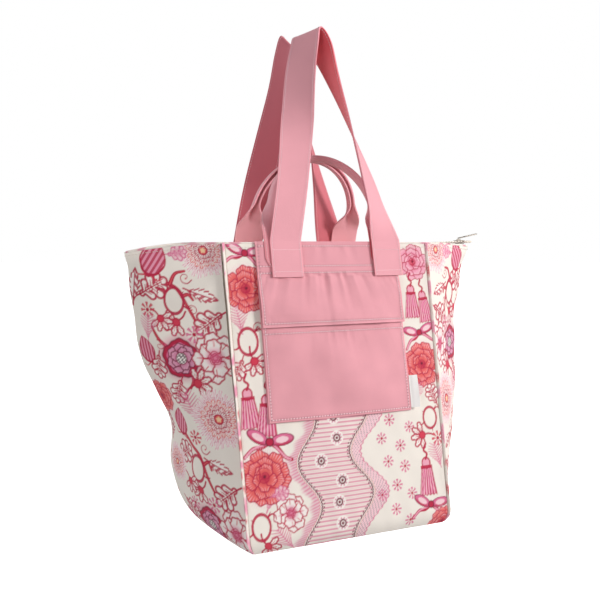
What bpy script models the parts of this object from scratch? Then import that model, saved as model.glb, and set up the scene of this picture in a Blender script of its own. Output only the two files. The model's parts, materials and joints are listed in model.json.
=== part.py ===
"""Knitting bag: a boxed canvas tote with drawn-out top corners, a recessed zip closure,
a flapped patch pocket, two long shoulder straps and two short grab handles.

Metres, +Z up. The origin is the centre of the underside of the base. +X runs to the right along
the front, and the front faces -Y. Heights on the front and back are given as z on the leaning
outer face of the panel, and n is the distance out from that face.
"""

import math

import bmesh
import bpy
import numpy as np
from mathutils import Matrix, Vector

# Driving dimensions of the body
HEIGHT = 0.350
BASE_HALF_WIDTH = 0.133
TOP_HALF_WIDTH = 0.138
BASE_HALF_DEPTH = 0.123
TOP_HALF_DEPTH = 0.051
FABRIC = 0.0015
GAP = 0.0003
FRONT, BACK = -1, 1
LEFT, RIGHT = -1, 1

# How far the middle of each side panel stands out past the corners, from the base to the top
WING_REACH = {
    LEFT: ((0.0, 0.1, 0.2, 0.3, 0.4, 0.5, 0.6, 0.8, 1.0),
           (0.018, 0.043, 0.051, 0.051, 0.058, 0.071, 0.086, 0.098, 0.105)),
    RIGHT: ((0.0, 0.1, 0.2, 0.4, 0.6, 0.7, 0.8, 0.9, 1.0),
            (0.018, 0.043, 0.056, 0.073, 0.078, 0.081, 0.087, 0.096, 0.105)),
}
WING_SAG = {LEFT: 0.011, RIGHT: 0.004}
WING_COLUMNS = (0.0, 0.09, 0.22, 0.38, 0.56, 0.78)
LEVELS = (0.0, 0.05, 0.1, 0.2, 0.3, 0.4, 0.5, 0.6, 0.7, 0.8, 0.9, 1.0)

# Base, lining and facings
BASE_THICK = 0.0020
BOARD_THICK = 0.0024
BOARD_INSET = 0.006
LINING_INSET = 0.0038
LINING_THICK = 0.0008
FACING_INSET = 0.0038
FACING_THICK = 0.0010
FACING_BOTTOM = 0.326
WELT_RADIUS = 0.0020
WELT_CLEAR = 0.0024
WELT_OUT = 0.0004
WELT_LEVELS = (0.016, 0.25, 0.5, 0.75, 0.9985)

# Pocket on the front
POCKET_LEFT, POCKET_RIGHT = -0.100, 0.090
POCKET_BOTTOM = 0.142
CANVAS = 0.0010
POUCH_TOP = 0.262
POUCH_DEPTH = 0.0065
FLAP_HINGE = 0.3065
FLAP_HINGE_OUT = 0.0050
FLAP_PROFILE = ((0.3050, 0.0034), (0.2850, 0.0068), (0.2655, 0.0096), (0.2500, 0.0098))
LABEL_SIZE = (0.0105, 0.039)
LABEL_OUT = (0.0042, 0.0050)
POUCH_INSET = 0.001
POUCH_RISE = 0.002

# Straps and handles
STRAP_WIDTH = 0.040
STRAP_THICK = 0.0016
STRAP_END = 0.308
STRAP_X = {FRONT: (-0.062, 0.075), BACK: (-0.070, 0.050)}
STRAP_PEAK = {FRONT: (-0.011, -0.008, 0.6125), BACK: (-0.017, 0.034, 0.6065)}
# x of each leg's centre line at a share of the way up from the edge to the peak
STRAP_LEG = {
    FRONT: {LEFT: ((0.0, -0.0620), (0.26, -0.0504), (0.54, -0.0388), (0.78, -0.0284), (0.93, -0.0182)),
            RIGHT: ((0.0, 0.0750), (0.26, 0.0556), (0.54, 0.0340), (0.78, 0.0155), (0.93, 0.0035))},
    BACK: {LEFT: ((0.0, -0.0700), (0.26, -0.0566), (0.54, -0.0403), (0.78, -0.0280), (0.93, -0.0230)),
           RIGHT: ((0.0, 0.0500), (0.26, 0.0346), (0.54, 0.0161), (0.78, 0.0020), (0.93, -0.0060))},
}
# degrees each leg has twisted about the vertical at a share of the way up
STRAP_TURN = {
    FRONT: {LEFT: ((0.0, 0.35, 0.5, 0.62, 0.8, 1.0), (0, -3, -14, -36, -46, -56)),
            RIGHT: ((0.0, 0.15, 0.29, 0.575, 0.74, 0.87, 1.0), (-180, -150, -139, -113.8, -99, -83, -56))},
    BACK: {LEFT: ((0.0, 0.25, 0.5, 0.75, 1.0), (0, -19, -38, -57, -76.5)),
           RIGHT: ((0.0, 0.25, 0.5, 0.75, 1.0), (-180, -143.4, -118.5, -96.6, -76.5))},
}
# how much higher than the centre line the strap's two edges are at the peak, and where that begins
STRAP_TILT = {FRONT: (-0.0043, 0.0040), BACK: (0.0150, 0.0)}
STRAP_TILT_START = 0.7
STRAP_LEAF = {FRONT: 0.0043, BACK: 0.0017}
HANDLE_X = {FRONT: (-0.070, 0.0725), BACK: (-0.070, 0.070)}
HANDLE_PEAK = 0.457
HANDLE_THICK = 0.0010
HANDLE_BAND = (0.010, 0.008)
HANDLE_SPADE_TOP = 0.385
HANDLE_FOLD_RATE = 2.6
HANDLE_STEPS = 28
HANDLE_END = 0.316
HANDLE_LEAF = {FRONT: 0.0029, BACK: 0.0003}
EDGE_RISE = 0.0016
HANDLE_LEAN = 0.34
STRAP_LEAN_POWER = 1.6
STRAP_FOLD_RISE, STRAP_FOLD_OUT = 0.0005, 0.0006
HANDLE_FOLD_RISE = 0.0010

# Zip closure, in a frame that rises from the left wing tip to the right one
ZIP_MIDDLE = 0.3435
ZIP_RISE = 0.0335
BAND_HALF_LENGTH = 0.132
BAND_OUTER, BAND_INNER = 0.0457, 0.0140
BAND_THICK = 0.0012
GUSSET_INSET = 0.0072
GUSSET_START = {LEFT: 0.1380, RIGHT: 0.1365}
GUSSET_END = 0.218
GUSSET_LEVEL = -0.0056
GUSSET_THICK = 0.0010
TAPE_OUTER, TAPE_INNER, TAPE_THICK = 0.0155, 0.0033, 0.0008
TEETH_OUTER, TEETH_INNER, TEETH_THICK = 0.0030, 0.0006, 0.0028
TAIL_START, TAIL_END, TAIL_OUTER = 0.1323, 0.2360, 0.0080
END_TAB = (0.0087, 0.0075, 0.0013)
BOTTOM_STOP = (0.0040, 0.0036, 0.0019)
SLIDER_REST = 0.2270
SLIDER_HALF = (0.0055, 0.0045)
SLIDER_PLATE = 0.0009
SLIDER_WEB = 0.0003
SLIDER_CLEAR = 0.0004
BAIL = (0.0060, 0.0018, 0.0016)
PULL_LENGTH, PULL_WIDTH, PULL_THICK = 0.032, 0.0052, 0.0014
PULL_LIFT = math.radians(13)
METAL_ROUND, BAIL_ROUND, END_TAB_ROUND = 0.0005, 0.0004, 0.0006

LEAN = (BASE_HALF_DEPTH - TOP_HALF_DEPTH) / HEIGHT
TILT = math.atan(LEAN)

MATERIALS = {
    "print": ((0.84, 0.72, 0.68), 0.85, 0.0),
    "pink_canvas": ((0.78, 0.36, 0.40), 0.80, 0.0),
    "pink_webbing": ((0.80, 0.38, 0.42), 0.75, 0.0),
    "cream_cotton": ((0.86, 0.80, 0.72), 0.90, 0.0),
    "board": ((0.70, 0.68, 0.64), 0.60, 0.0),
    "zip_tape": ((0.86, 0.78, 0.74), 0.85, 0.0),
    "zip_metal": ((0.45, 0.42, 0.38), 0.35, 1.0),
    "label": ((0.93, 0.92, 0.90), 0.70, 0.0),
}


# ---------------------------------------------------------------- scene helpers
def clear_scene():
    for ob in list(bpy.data.objects):
        bpy.data.objects.remove(ob, do_unlink=True)


def make_collection(name):
    group = bpy.data.collections.new(name)
    bpy.context.scene.collection.children.link(group)
    return group


def material(name):
    found = bpy.data.materials.get(name)
    if found:
        return found
    color, roughness, metallic = MATERIALS[name]
    made = bpy.data.materials.new(name)
    made.use_nodes = True
    shader = made.node_tree.nodes["Principled BSDF"]
    shader.inputs["Base Color"].default_value = (*color, 1.0)
    shader.inputs["Roughness"].default_value = roughness
    shader.inputs["Metallic"].default_value = metallic
    return made


def add_object(name, mesh, kind):
    ob = bpy.data.objects.new(name, mesh)
    ob.data.materials.append(material(kind))
    BAG.objects.link(ob)
    return ob


def pivot(name, place, turn=None):
    """An empty on a joint's axis, which the moving pieces are parented to."""
    ob = bpy.data.objects.new(name, None)
    ob.empty_display_size = 0.02
    BAG.objects.link(ob)
    ob.matrix_world = Matrix.Translation(place) @ (turn or Matrix.Identity(4))
    return ob


def hang(piece, holder):
    piece.parent = holder
    piece.matrix_parent_inverse = holder.matrix_world.inverted()
    return piece


def sheet(name, grid, thickness, kind, outward):
    """An open sheet from rows of points, thickened on the side away from the outward direction."""
    rows, columns = len(grid), len(grid[0])
    build = bmesh.new()
    points = [[build.verts.new(p) for p in row] for row in grid]
    for i in range(rows - 1):
        for j in range(columns - 1):
            build.faces.new((points[i][j], points[i][j + 1], points[i + 1][j + 1], points[i + 1][j]))
    return finish_sheet(name, build, thickness, kind, outward)


def finish_sheet(name, build, thickness, kind, outward):
    build.normal_update()
    score = sum(face.normal.dot(outward(face.calc_center_median())) for face in build.faces)
    if score < 0:
        bmesh.ops.reverse_faces(build, faces=build.faces)
    mesh = bpy.data.meshes.new(name)
    build.to_mesh(mesh)
    build.free()
    ob = add_object(name, mesh, kind)
    solidify = ob.modifiers.new("thickness", "SOLIDIFY")
    solidify.thickness = thickness
    solidify.offset = -1.0
    solidify.use_even_offset = True
    return ob


def box(name, low, high, kind, frame=None, bevel=0.0):
    """A box between two corners of a frame, with its faces along the frame's axes."""
    low, high = Vector(low), Vector(high)
    build = bmesh.new()
    bmesh.ops.create_cube(build, size=1.0)
    for vert in build.verts:
        vert.co = Vector(vert.co[i] * (high[i] - low[i]) for i in range(3))
    mesh = bpy.data.meshes.new(name)
    build.to_mesh(mesh)
    build.free()
    ob = add_object(name, mesh, kind)
    ob.matrix_world = (frame or Matrix.Identity(4)) @ Matrix.Translation((low + high) / 2)
    if bevel:
        rounding = ob.modifiers.new("rounding", "BEVEL")
        rounding.width = bevel
        rounding.segments = 2
    return ob


# ---------------------------------------------------------------- body surfaces
def smooth_table(table, t):
    """A smooth curve through the points of a table (Catmull-Rom)."""
    places, values = table
    i = max(k for k in range(len(places) - 1) if places[k] <= t or k == 0)
    span = places[i + 1] - places[i]
    s = (t - places[i]) / span
    left = max(i - 1, 0)
    right = min(i + 2, len(places) - 1)
    slope_in = (values[i + 1] - values[left]) / (places[i + 1] - places[left]) * span
    slope_out = (values[right] - values[i]) / (places[right] - places[i]) * span
    return ((2 * s**3 - 3 * s**2 + 1) * values[i] + (s**3 - 2 * s**2 + s) * slope_in
            + (3 * s**2 - 2 * s**3) * values[i + 1] + (s**3 - s**2) * slope_out)


def corner(t):
    """Half width and half depth of the body's four corners at a level from 0 to 1."""
    return (BASE_HALF_WIDTH + (TOP_HALF_WIDTH - BASE_HALF_WIDTH) * t,
            BASE_HALF_DEPTH + (TOP_HALF_DEPTH - BASE_HALF_DEPTH) * t)


def side_point(side, u, t):
    """A point of a side panel: u is -1 at the front corner, 0 in the middle and 1 at the back."""
    half_width, half_depth = corner(t)
    fold = t * t
    roof = 1 - abs(u)
    arch = 1 - u * u
    reach = smooth_table(WING_REACH[side], t) * (fold * roof + (1 - fold) * arch)
    drop = WING_SAG[side] * (1 - abs(u)) ** 2 * t**4
    return Vector((side * (half_width + reach), u * half_depth, t * HEIGHT - drop))


def face_point(side, x, z, n=0.0):
    """A point at distance n outside the front or back face, at height z on the face."""
    y = BASE_HALF_DEPTH - LEAN * z + n * math.cos(TILT)
    return Vector((x, side * y, z + n * math.sin(TILT)))


def face_frame(side, x=0.0, z=HEIGHT, n=0.0):
    """A frame on the front or back face: X along the bag, Y out of the face, Z up the slope."""
    out = Vector((0, side * math.cos(TILT), math.sin(TILT)))
    up = Vector((0, -side * math.sin(TILT), math.cos(TILT)))
    along = out.cross(up)
    frame = Matrix((along, out, up)).transposed().to_4x4()
    return Matrix.Translation(face_point(side, x, z, n)) @ frame


def face_box(name, side, x_range, z_range, n_range, kind, bevel=0.0):
    """A flat box on the front or back face."""
    frame = face_frame(side)
    xs = sorted(side * x for x in x_range)
    zs = [(z - HEIGHT) / math.cos(TILT) for z in z_range]
    low = (xs[0], n_range[0], zs[0])
    high = (xs[1], n_range[1], zs[1])
    return box(name, low, high, kind, frame, bevel)


def outline(t, inset):
    """The body's outline at a level, as a ring of points moved inward by the inset."""
    half_width, half_depth = corner(t)
    ring = []
    for side in (RIGHT, LEFT):
        front_x = -side * half_width
        y = -side * half_depth
        for f in (0.0, 0.25, 0.5, 0.75):
            ring.append(Vector((front_x * (1 - 2 * f), y, t * HEIGHT)))
        columns = [-1.0] + [-c for c in reversed(WING_COLUMNS)] + list(WING_COLUMNS[1:])
        ring += [side_point(side, side * u, t) for u in columns]
    moved = []
    for i, p in enumerate(ring):
        before = (p - ring[i - 1]).to_2d().normalized()
        after = (ring[(i + 1) % len(ring)] - p).to_2d().normalized()
        normal_in = Vector((-before.y, before.x))
        normal_out = Vector((-after.y, after.x))
        middle = (normal_in + normal_out).normalized()
        reach = inset / max(middle.dot(normal_out), 0.4)
        moved.append(Vector((p.x + middle.x * reach, p.y + middle.y * reach, p.z)))
    return moved


def away_from_middle(place):
    """The level direction from the body's upright axis to a place."""
    return Vector((place.x, place.y, 0))


def flat_plate(name, ring, thickness, kind):
    build = bmesh.new()
    build.faces.new([build.verts.new(p) for p in ring])
    return finish_sheet(name, build, thickness, kind, lambda place: Vector((0, 0, 1)))


def make_shell():
    base_ring = [Vector((p.x, p.y, BASE_THICK)) for p in outline(0.0, 0.0)]
    flat_plate("base_panel", base_ring, BASE_THICK, "print")
    board_z = BASE_THICK + GAP + BOARD_THICK
    board_ring = [Vector((p.x, p.y, board_z)) for p in outline(0.0, BOARD_INSET)]
    flat_plate("base_board", board_ring, BOARD_THICK, "board")
    levels = ((BASE_THICK + GAP) / HEIGHT,) + LEVELS[1:]
    for side, name in ((FRONT, "front"), (BACK, "back")):
        grid = []
        for t in levels:
            reach = corner(t)[0] - WELT_CLEAR
            grid.append([face_point(side, reach * f, t * HEIGHT) for f in (-1, -0.5, 0, 0.5, 1)])
        out = face_point(side, 0, 0, 1) - face_point(side, 0, 0, 0)
        sheet(f"{name}_panel", grid, FABRIC, "print", lambda place, out=out: out)
    for side, name in ((LEFT, "left"), (RIGHT, "right")):
        grid = []
        for t in levels:
            edge = 1 - WELT_CLEAR / corner(t)[1]
            columns = [-edge] + [-c for c in reversed(WING_COLUMNS)] + list(WING_COLUMNS[1:]) + [edge]
            grid.append([side_point(side, u, t) for u in columns])
        sheet(f"{name}_side_panel", grid, FABRIC, "print", lambda place, s=side: Vector((s, 0, 0)))
    for front, front_name in ((FRONT, "front"), (BACK, "back")):
        for side, name in ((LEFT, "left"), (RIGHT, "right")):
            make_welt(f"{front_name}_{name}_seam_welt", front, side)


def make_welt(name, front, side):
    """The folded seam allowance that stands out along a corner of the body."""
    curve = bpy.data.curves.new(name, "CURVE")
    curve.dimensions = "3D"
    curve.bevel_depth = WELT_RADIUS
    curve.bevel_resolution = 2
    curve.use_fill_caps = True
    spline = curve.splines.new("POLY")
    spline.points.add(len(WELT_LEVELS) - 1)
    for point, t in zip(spline.points, WELT_LEVELS):
        half_width, half_depth = corner(t)
        point.co = (side * (half_width + WELT_OUT), front * (half_depth + WELT_OUT), t * HEIGHT, 1)
    ob = bpy.data.objects.new(name, curve)
    curve.materials.append(material("print"))
    BAG.objects.link(ob)
    weld = ob.modifiers.new("close the caps", "WELD")
    weld.merge_threshold = 0.00005
    return ob


def make_lining():
    floor = BASE_THICK + BOARD_THICK + 2 * GAP
    build = bmesh.new()
    rows = []
    for t in (floor / HEIGHT,) + LEVELS[1:-1] + ((FACING_BOTTOM - 2 * GAP) / HEIGHT,):
        rows.append([build.verts.new(p) for p in outline(t, LINING_INSET)])
    for lower, upper in zip(rows, rows[1:]):
        for j in range(len(lower)):
            k = (j + 1) % len(lower)
            build.faces.new((lower[j], lower[k], upper[k], upper[j]))
    build.faces.new(list(reversed(rows[0])))
    finish_sheet("lining", build, LINING_THICK, "cream_cotton", away_from_middle)


def make_facings():
    """The four turned-in bands that finish the mouth and carry the closure."""
    count = len(outline(1.0, 0.0))
    half = count // 2
    bottom = FACING_BOTTOM / HEIGHT
    runs = {
        "front_facing": (0, 4),
        "right_facing": (4, half),
        "back_facing": (half, half + 4),
        "left_facing": (half + 4, count),
    }
    for name, (start, end) in runs.items():
        grid = []
        for t in (bottom, (bottom + 1) / 2, 1.0):
            ring = outline(t, FACING_INSET)
            row = [ring[i % count] for i in range(start, end + 1)]
            first = (row[1] - row[0]).normalized() * 2 * GAP
            last = (row[-2] - row[-1]).normalized() * 2 * GAP
            row[0] = row[0] + first
            row[-1] = row[-1] + last
            grid.append(row)
        sheet(name, grid, FACING_THICK, "cream_cotton", away_from_middle)


# ---------------------------------------------------------------- pocket
def make_pocket():
    width = (POCKET_LEFT, POCKET_RIGHT)
    backing = (GAP, GAP + CANVAS)
    face_box("pocket_backing", FRONT, width, (POCKET_BOTTOM, HEIGHT - GAP), backing, "pink_canvas")
    band = (backing[1] + GAP, backing[1] + GAP + CANVAS)
    face_box("flap_band", FRONT, width, (FLAP_HINGE, HEIGHT - GAP), band, "pink_canvas")
    make_pouch(backing[1] + GAP)
    make_flap(width)
    tag_x = (POCKET_RIGHT + GAP, POCKET_RIGHT + GAP + LABEL_SIZE[0])
    tag_z = (POCKET_BOTTOM + POUCH_RISE, POCKET_BOTTOM + POUCH_RISE + LABEL_SIZE[1])
    face_box("side_label", FRONT, tag_x, tag_z, LABEL_OUT, "label")


def make_pouch(back):
    """The patch pocket: front, two sides and bottom, open at the top and against the backing."""
    frame = face_frame(FRONT)
    build = bmesh.new()
    bmesh.ops.create_cube(build, size=1.0)
    build.normal_update()
    opened = [f for f in build.faces if f.normal.z > 0.5 or f.normal.y < -0.5]
    bmesh.ops.delete(build, geom=opened, context="FACES")
    low_z, high_z = ((z - HEIGHT) / math.cos(TILT) for z in (POCKET_BOTTOM + POUCH_RISE, POUCH_TOP))
    low = Vector((FRONT * POCKET_RIGHT + POUCH_INSET, back, low_z))
    high = Vector((FRONT * POCKET_LEFT - POUCH_INSET, back + POUCH_DEPTH, high_z))
    for vert in build.verts:
        vert.co = Vector(low[i] + (vert.co[i] + 0.5) * (high[i] - low[i]) for i in range(3))
    middle = (low + high) / 2
    ob = finish_sheet("pocket_pouch", build, CANVAS, "pink_canvas", lambda place: place - middle)
    ob.matrix_world = frame


def make_flap(width):
    """The flap, from its fold line down over the mouth of the pouch."""
    grid = [[face_point(FRONT, x, z, n) for x in (width[0], sum(width) / 2, width[1])]
            for z, n in FLAP_PROFILE]
    flap = sheet("pocket_flap", grid, CANVAS, "pink_canvas", lambda place: Vector((0, -1, 0)))
    hang(flap, pivot("flap_hinge", face_point(FRONT, 0, FLAP_HINGE, FLAP_HINGE_OUT)))


# ---------------------------------------------------------------- straps and handles
def curve_through(points, steps):
    """Points evenly spaced in parameter on a smooth curve through the given points."""
    made = []
    for k in range(steps + 1):
        place = k / steps * (len(points) - 1)
        table = [(tuple(range(len(points))), tuple(p[i] for p in points)) for i in range(3)]
        made.append(Vector(smooth_table(axis, min(place, len(points) - 1.000001)) for axis in table))
    return made


def strap_path(front):
    """The strap's centre line: up from the edge, over a bar at the peak and down again."""
    leaf = STRAP_LEAF[front] + STRAP_THICK / 2
    foot = face_point(front, 0, HEIGHT + EDGE_RISE, leaf)
    peak = Vector(STRAP_PEAK[front])
    rise = peak.z - foot.z
    legs = STRAP_LEG[front]
    points = [Vector((x, 0, foot.z + rise * share)) for share, x in legs[LEFT]]
    points.append(peak.copy())
    points += [Vector((x, 0, foot.z + rise * share)) for share, x in reversed(legs[RIGHT])]
    for p in points:
        share = (p.z - foot.z) / rise
        p.y = foot.y + (peak.y - foot.y) * share**STRAP_LEAN_POWER
    return points


def make_strap(front, name):
    path = curve_through(strap_path(front), 40)
    heights = np.array([p.z for p in path])
    lowest, highest = heights.min(), heights.max()
    top = int(heights.argmax())
    grid = []
    for k, centre in enumerate(path):
        share = (centre.z - lowest) / (highest - lowest)
        turn = math.radians(smooth_table(STRAP_TURN[front][LEFT if k <= top else RIGHT], share))
        across = Vector((math.cos(turn), math.sin(turn), 0)) * (STRAP_WIDTH / 2)
        near_peak = max(0.0, (share - STRAP_TILT_START) / (1 - STRAP_TILT_START)) ** 2
        far_rise, near_rise = (Vector((0, 0, rise * near_peak)) for rise in STRAP_TILT[front])
        grid.append([centre - across + far_rise, centre + across + near_rise])
    centred = Vector((0, 0, (lowest + highest) / 2))
    title = f"{name}_shoulder_strap"
    strap = sheet(title, grid, STRAP_THICK, "pink_webbing", lambda place: place - centred)
    strap.modifiers["thickness"].offset = 0.0
    leaf = STRAP_LEAF[front] + STRAP_THICK + STRAP_FOLD_OUT
    hang(strap, pivot(f"{name}_strap_fold", face_point(front, 0, HEIGHT + STRAP_FOLD_RISE, leaf)))
    for x, side_name in zip(STRAP_X[front], ("left", "right")):
        face_box(f"{name}_{side_name}_strap_end", front,
                 (x - STRAP_WIDTH / 2, x + STRAP_WIDTH / 2), (STRAP_END, HEIGHT - GAP),
                 (STRAP_LEAF[front], STRAP_LEAF[front] + STRAP_THICK), "pink_webbing")


def make_handle(front, name):
    """A short handle: flat spade ends that fold in half into a narrow rounded band."""
    left, right = HANDLE_X[front]
    middle, half_span = (left + right) / 2, (right - left) / 2
    foot_z = HEIGHT + EDGE_RISE
    foot = face_point(front, 0, foot_z, HANDLE_LEAF[front] + HANDLE_THICK / 2)
    arch = HANDLE_PEAK - HANDLE_SPADE_TOP
    sections = []
    for k in range(HANDLE_STEPS + 1):
        angle = math.pi * k / HANDLE_STEPS
        x = middle - math.cos(angle) * half_span
        z = HANDLE_SPADE_TOP + arch * math.sin(angle)
        tangent = Vector((math.sin(angle) * half_span, 0, math.cos(angle) * arch))
        fold = min(1.0, math.sin(angle) * HANDLE_FOLD_RATE)
        sections.append((x, z, tangent.normalized(), fold))
    up, down = Vector((0, 0, 1)), Vector((0, 0, -1))
    half_way = (foot_z + HANDLE_SPADE_TOP) / 2
    lead = [(left, foot_z, up, 0.0), (left, half_way, up, 0.0)]
    tail = [(right, half_way, down, 0.0), (right, foot_z, down, 0.0)]
    build = bmesh.new()
    rings = []
    for x, z, tangent, fold in lead + sections + tail:
        width = STRAP_WIDTH + (HANDLE_BAND[0] - STRAP_WIDTH) * fold
        thick = HANDLE_THICK + (HANDLE_BAND[1] - HANDLE_THICK) * fold
        across = Vector((tangent.z, 0, -tangent.x)) * width / 2
        depth = Vector((0, thick / 2, 0))
        inward = HANDLE_LEAN * (z - foot_z) + (thick - HANDLE_THICK) / 2
        centre = Vector((x, foot.y - front * inward, z))
        front_edge, back_edge = centre - depth, centre + depth
        ring = (front_edge - across, front_edge + across, back_edge + across, back_edge - across)
        rings.append([build.verts.new(p) for p in ring])
    for a, b in zip(rings, rings[1:]):
        for j in range(4):
            k = (j + 1) % 4
            build.faces.new((a[j], a[k], b[k], b[j]))
    build.faces.new(list(reversed(rings[0])))
    build.faces.new(rings[-1])
    bmesh.ops.recalc_face_normals(build, faces=build.faces)
    mesh = bpy.data.meshes.new(f"{name}_grab_handle")
    build.to_mesh(mesh)
    build.free()
    handle = add_object(f"{name}_grab_handle", mesh, "pink_webbing")
    hang(handle, pivot(f"{name}_handle_fold", face_point(front, 0, HEIGHT + HANDLE_FOLD_RISE)))
    for x, side_name in zip(HANDLE_X[front], ("left", "right")):
        face_box(f"{name}_{side_name}_handle_end", front,
                 (x - STRAP_WIDTH / 2, x + STRAP_WIDTH / 2), (HANDLE_END, HEIGHT - GAP),
                 (HANDLE_LEAF[front], HANDLE_LEAF[front] + HANDLE_THICK), "pink_webbing")


# ---------------------------------------------------------------- zip closure
def zip_frame():
    turn = Matrix.Rotation(-math.atan(ZIP_RISE), 4, "Y")
    return Matrix.Translation((0, 0, ZIP_MIDDLE)) @ turn


def make_closure():
    frame = zip_frame()
    tape_top = TAPE_THICK / 2
    band_z = (tape_top + GAP, tape_top + GAP + BAND_THICK)
    for side, name in ((FRONT, "front"), (BACK, "back")):
        holder = pivot(f"{name}_closure_fold", frame @ Vector((0, side * BAND_OUTER, sum(band_z) / 2)),
                       frame.to_3x3().to_4x4())
        reach = BAND_HALF_LENGTH
        pieces = (
            ("closure_band", BAND_INNER, BAND_OUTER, band_z, "cream_cotton"),
            ("zip_tape", TAPE_INNER, TAPE_OUTER, (-tape_top, tape_top), "zip_tape"),
            ("zip_teeth", TEETH_INNER, TEETH_OUTER, (-TEETH_THICK / 2, TEETH_THICK / 2), "zip_metal"),
        )
        for piece, inner, outer, heights, kind in pieces:
            ys = sorted((side * inner, side * outer))
            ob = box(f"{name}_{piece}", (-reach, ys[0], heights[0]), (reach, ys[1], heights[1]), kind, frame)
            hang(ob, holder)
        tail = (
            ("zip_tail_tape", TAPE_INNER, TAIL_OUTER, (-tape_top, tape_top), "zip_tape"),
            ("zip_tail_teeth", TEETH_INNER, TEETH_OUTER, (-TEETH_THICK / 2, TEETH_THICK / 2), "zip_metal"),
        )
        for piece, inner, outer, heights, kind in tail:
            ys = sorted((side * inner, side * outer))
            low, high = (TAIL_START, ys[0], heights[0]), (TAIL_END, ys[1], heights[1])
            box(f"{name}_{piece}", low, high, kind, frame)
    length, width, thick = END_TAB
    low, high = (TAIL_END + GAP, -width, -thick), (TAIL_END + GAP + length, width, thick)
    box("zip_end_tab", low, high, "cream_cotton", frame, bevel=END_TAB_ROUND)
    length, width, thick = BOTTOM_STOP
    low, high = (-BAND_HALF_LENGTH - GAP - length, -width, -thick), (-BAND_HALF_LENGTH - GAP, width, thick)
    box("zip_bottom_stop", low, high, "zip_metal", frame, bevel=METAL_ROUND)
    make_gussets(frame)
    make_slider(frame)


def make_gussets(frame):
    """The two triangles of cloth that close the wings below the ends of the zip."""
    for side, name in ((LEFT, "left"), (RIGHT, "right")):
        rows = []
        for share in (0.0, 0.25, 0.5, 0.75, 1.0):
            x = GUSSET_START[side] + (GUSSET_END - GUSSET_START[side]) * share
            spread = TOP_HALF_DEPTH * (1 - (x - TOP_HALF_WIDTH) / WING_REACH[side][1][-1])
            y = min(spread, TOP_HALF_DEPTH) - GUSSET_INSET
            rows.append([frame @ Vector((side * x, y * f, GUSSET_LEVEL)) for f in (-1, 0, 1)])
        title = f"{name}_closure_gusset"
        sheet(title, rows, GUSSET_THICK, "cream_cotton", lambda place: Vector((0, 0, 1)))


def make_slider(frame):
    """Two plates joined by a thin web between the teeth, with a bail that holds the pull."""
    long_half, wide_half = SLIDER_HALF
    mouth = TEETH_THICK / 2 + SLIDER_CLEAR
    outer = mouth + SLIDER_PLATE
    half = [(wide_half, -outer), (wide_half, -mouth), (SLIDER_WEB, -mouth),
            (SLIDER_WEB, mouth), (wide_half, mouth), (wide_half, outer)]
    profile = half + [(-y, -z) for y, z in half]
    build = bmesh.new()
    face = build.faces.new([build.verts.new((-long_half, y, z)) for y, z in profile])
    moved = bmesh.ops.extrude_face_region(build, geom=[face])["geom"]
    bmesh.ops.translate(build, vec=(2 * long_half, 0, 0),
                        verts=[v for v in moved if isinstance(v, bmesh.types.BMVert)])
    bmesh.ops.recalc_face_normals(build, faces=build.faces)
    mesh = bpy.data.meshes.new("zip_slider")
    build.to_mesh(mesh)
    build.free()
    slider = add_object("zip_slider", mesh, "zip_metal")
    slider.matrix_world = frame @ Matrix.Translation((SLIDER_REST, 0, 0))
    bail_low = Vector((SLIDER_REST - BAIL[0] / 2, -BAIL[1] / 2, outer + GAP))
    bail_high = Vector((SLIDER_REST + BAIL[0] / 2, BAIL[1] / 2, outer + GAP + BAIL[2]))
    bail = box("zip_pull_bail", bail_low, bail_high, "zip_metal", frame, bevel=BAIL_ROUND)
    hinge = frame @ Vector((SLIDER_REST, 0, bail_high.z + PULL_THICK / 2 + SLIDER_CLEAR))
    lift = Matrix.Rotation(-PULL_LIFT, 4, "Y")
    pull_frame = Matrix.Translation(hinge) @ frame.to_3x3().to_4x4() @ lift
    low, high = (0.0, -PULL_WIDTH / 2, -PULL_THICK / 2), (PULL_LENGTH, PULL_WIDTH / 2, PULL_THICK / 2)
    pull = box("zip_pull", low, high, "zip_metal", pull_frame, bevel=METAL_ROUND)
    holder = pivot("zip_pull_hinge", hinge, frame.to_3x3().to_4x4())
    hang(pull, holder)
    return slider, bail


clear_scene()
BAG = make_collection("knitting_bag")
make_shell()
make_lining()
make_facings()
make_pocket()
for facing, label in ((FRONT, "front"), (BACK, "back")):
    make_strap(facing, label)
    make_handle(facing, label)
make_closure()
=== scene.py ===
"""Knitting bag: the looks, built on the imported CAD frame.

Metres, +Z up. The front of the bag faces -Y. Heights on the front and back are given as z on the
leaning panel, and n is the distance out from that panel. On the printed cloth, x runs across and
y runs up, also in metres.
"""

import json
import math

import bpy
import numpy as np
from mathutils import Matrix, Vector


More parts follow.
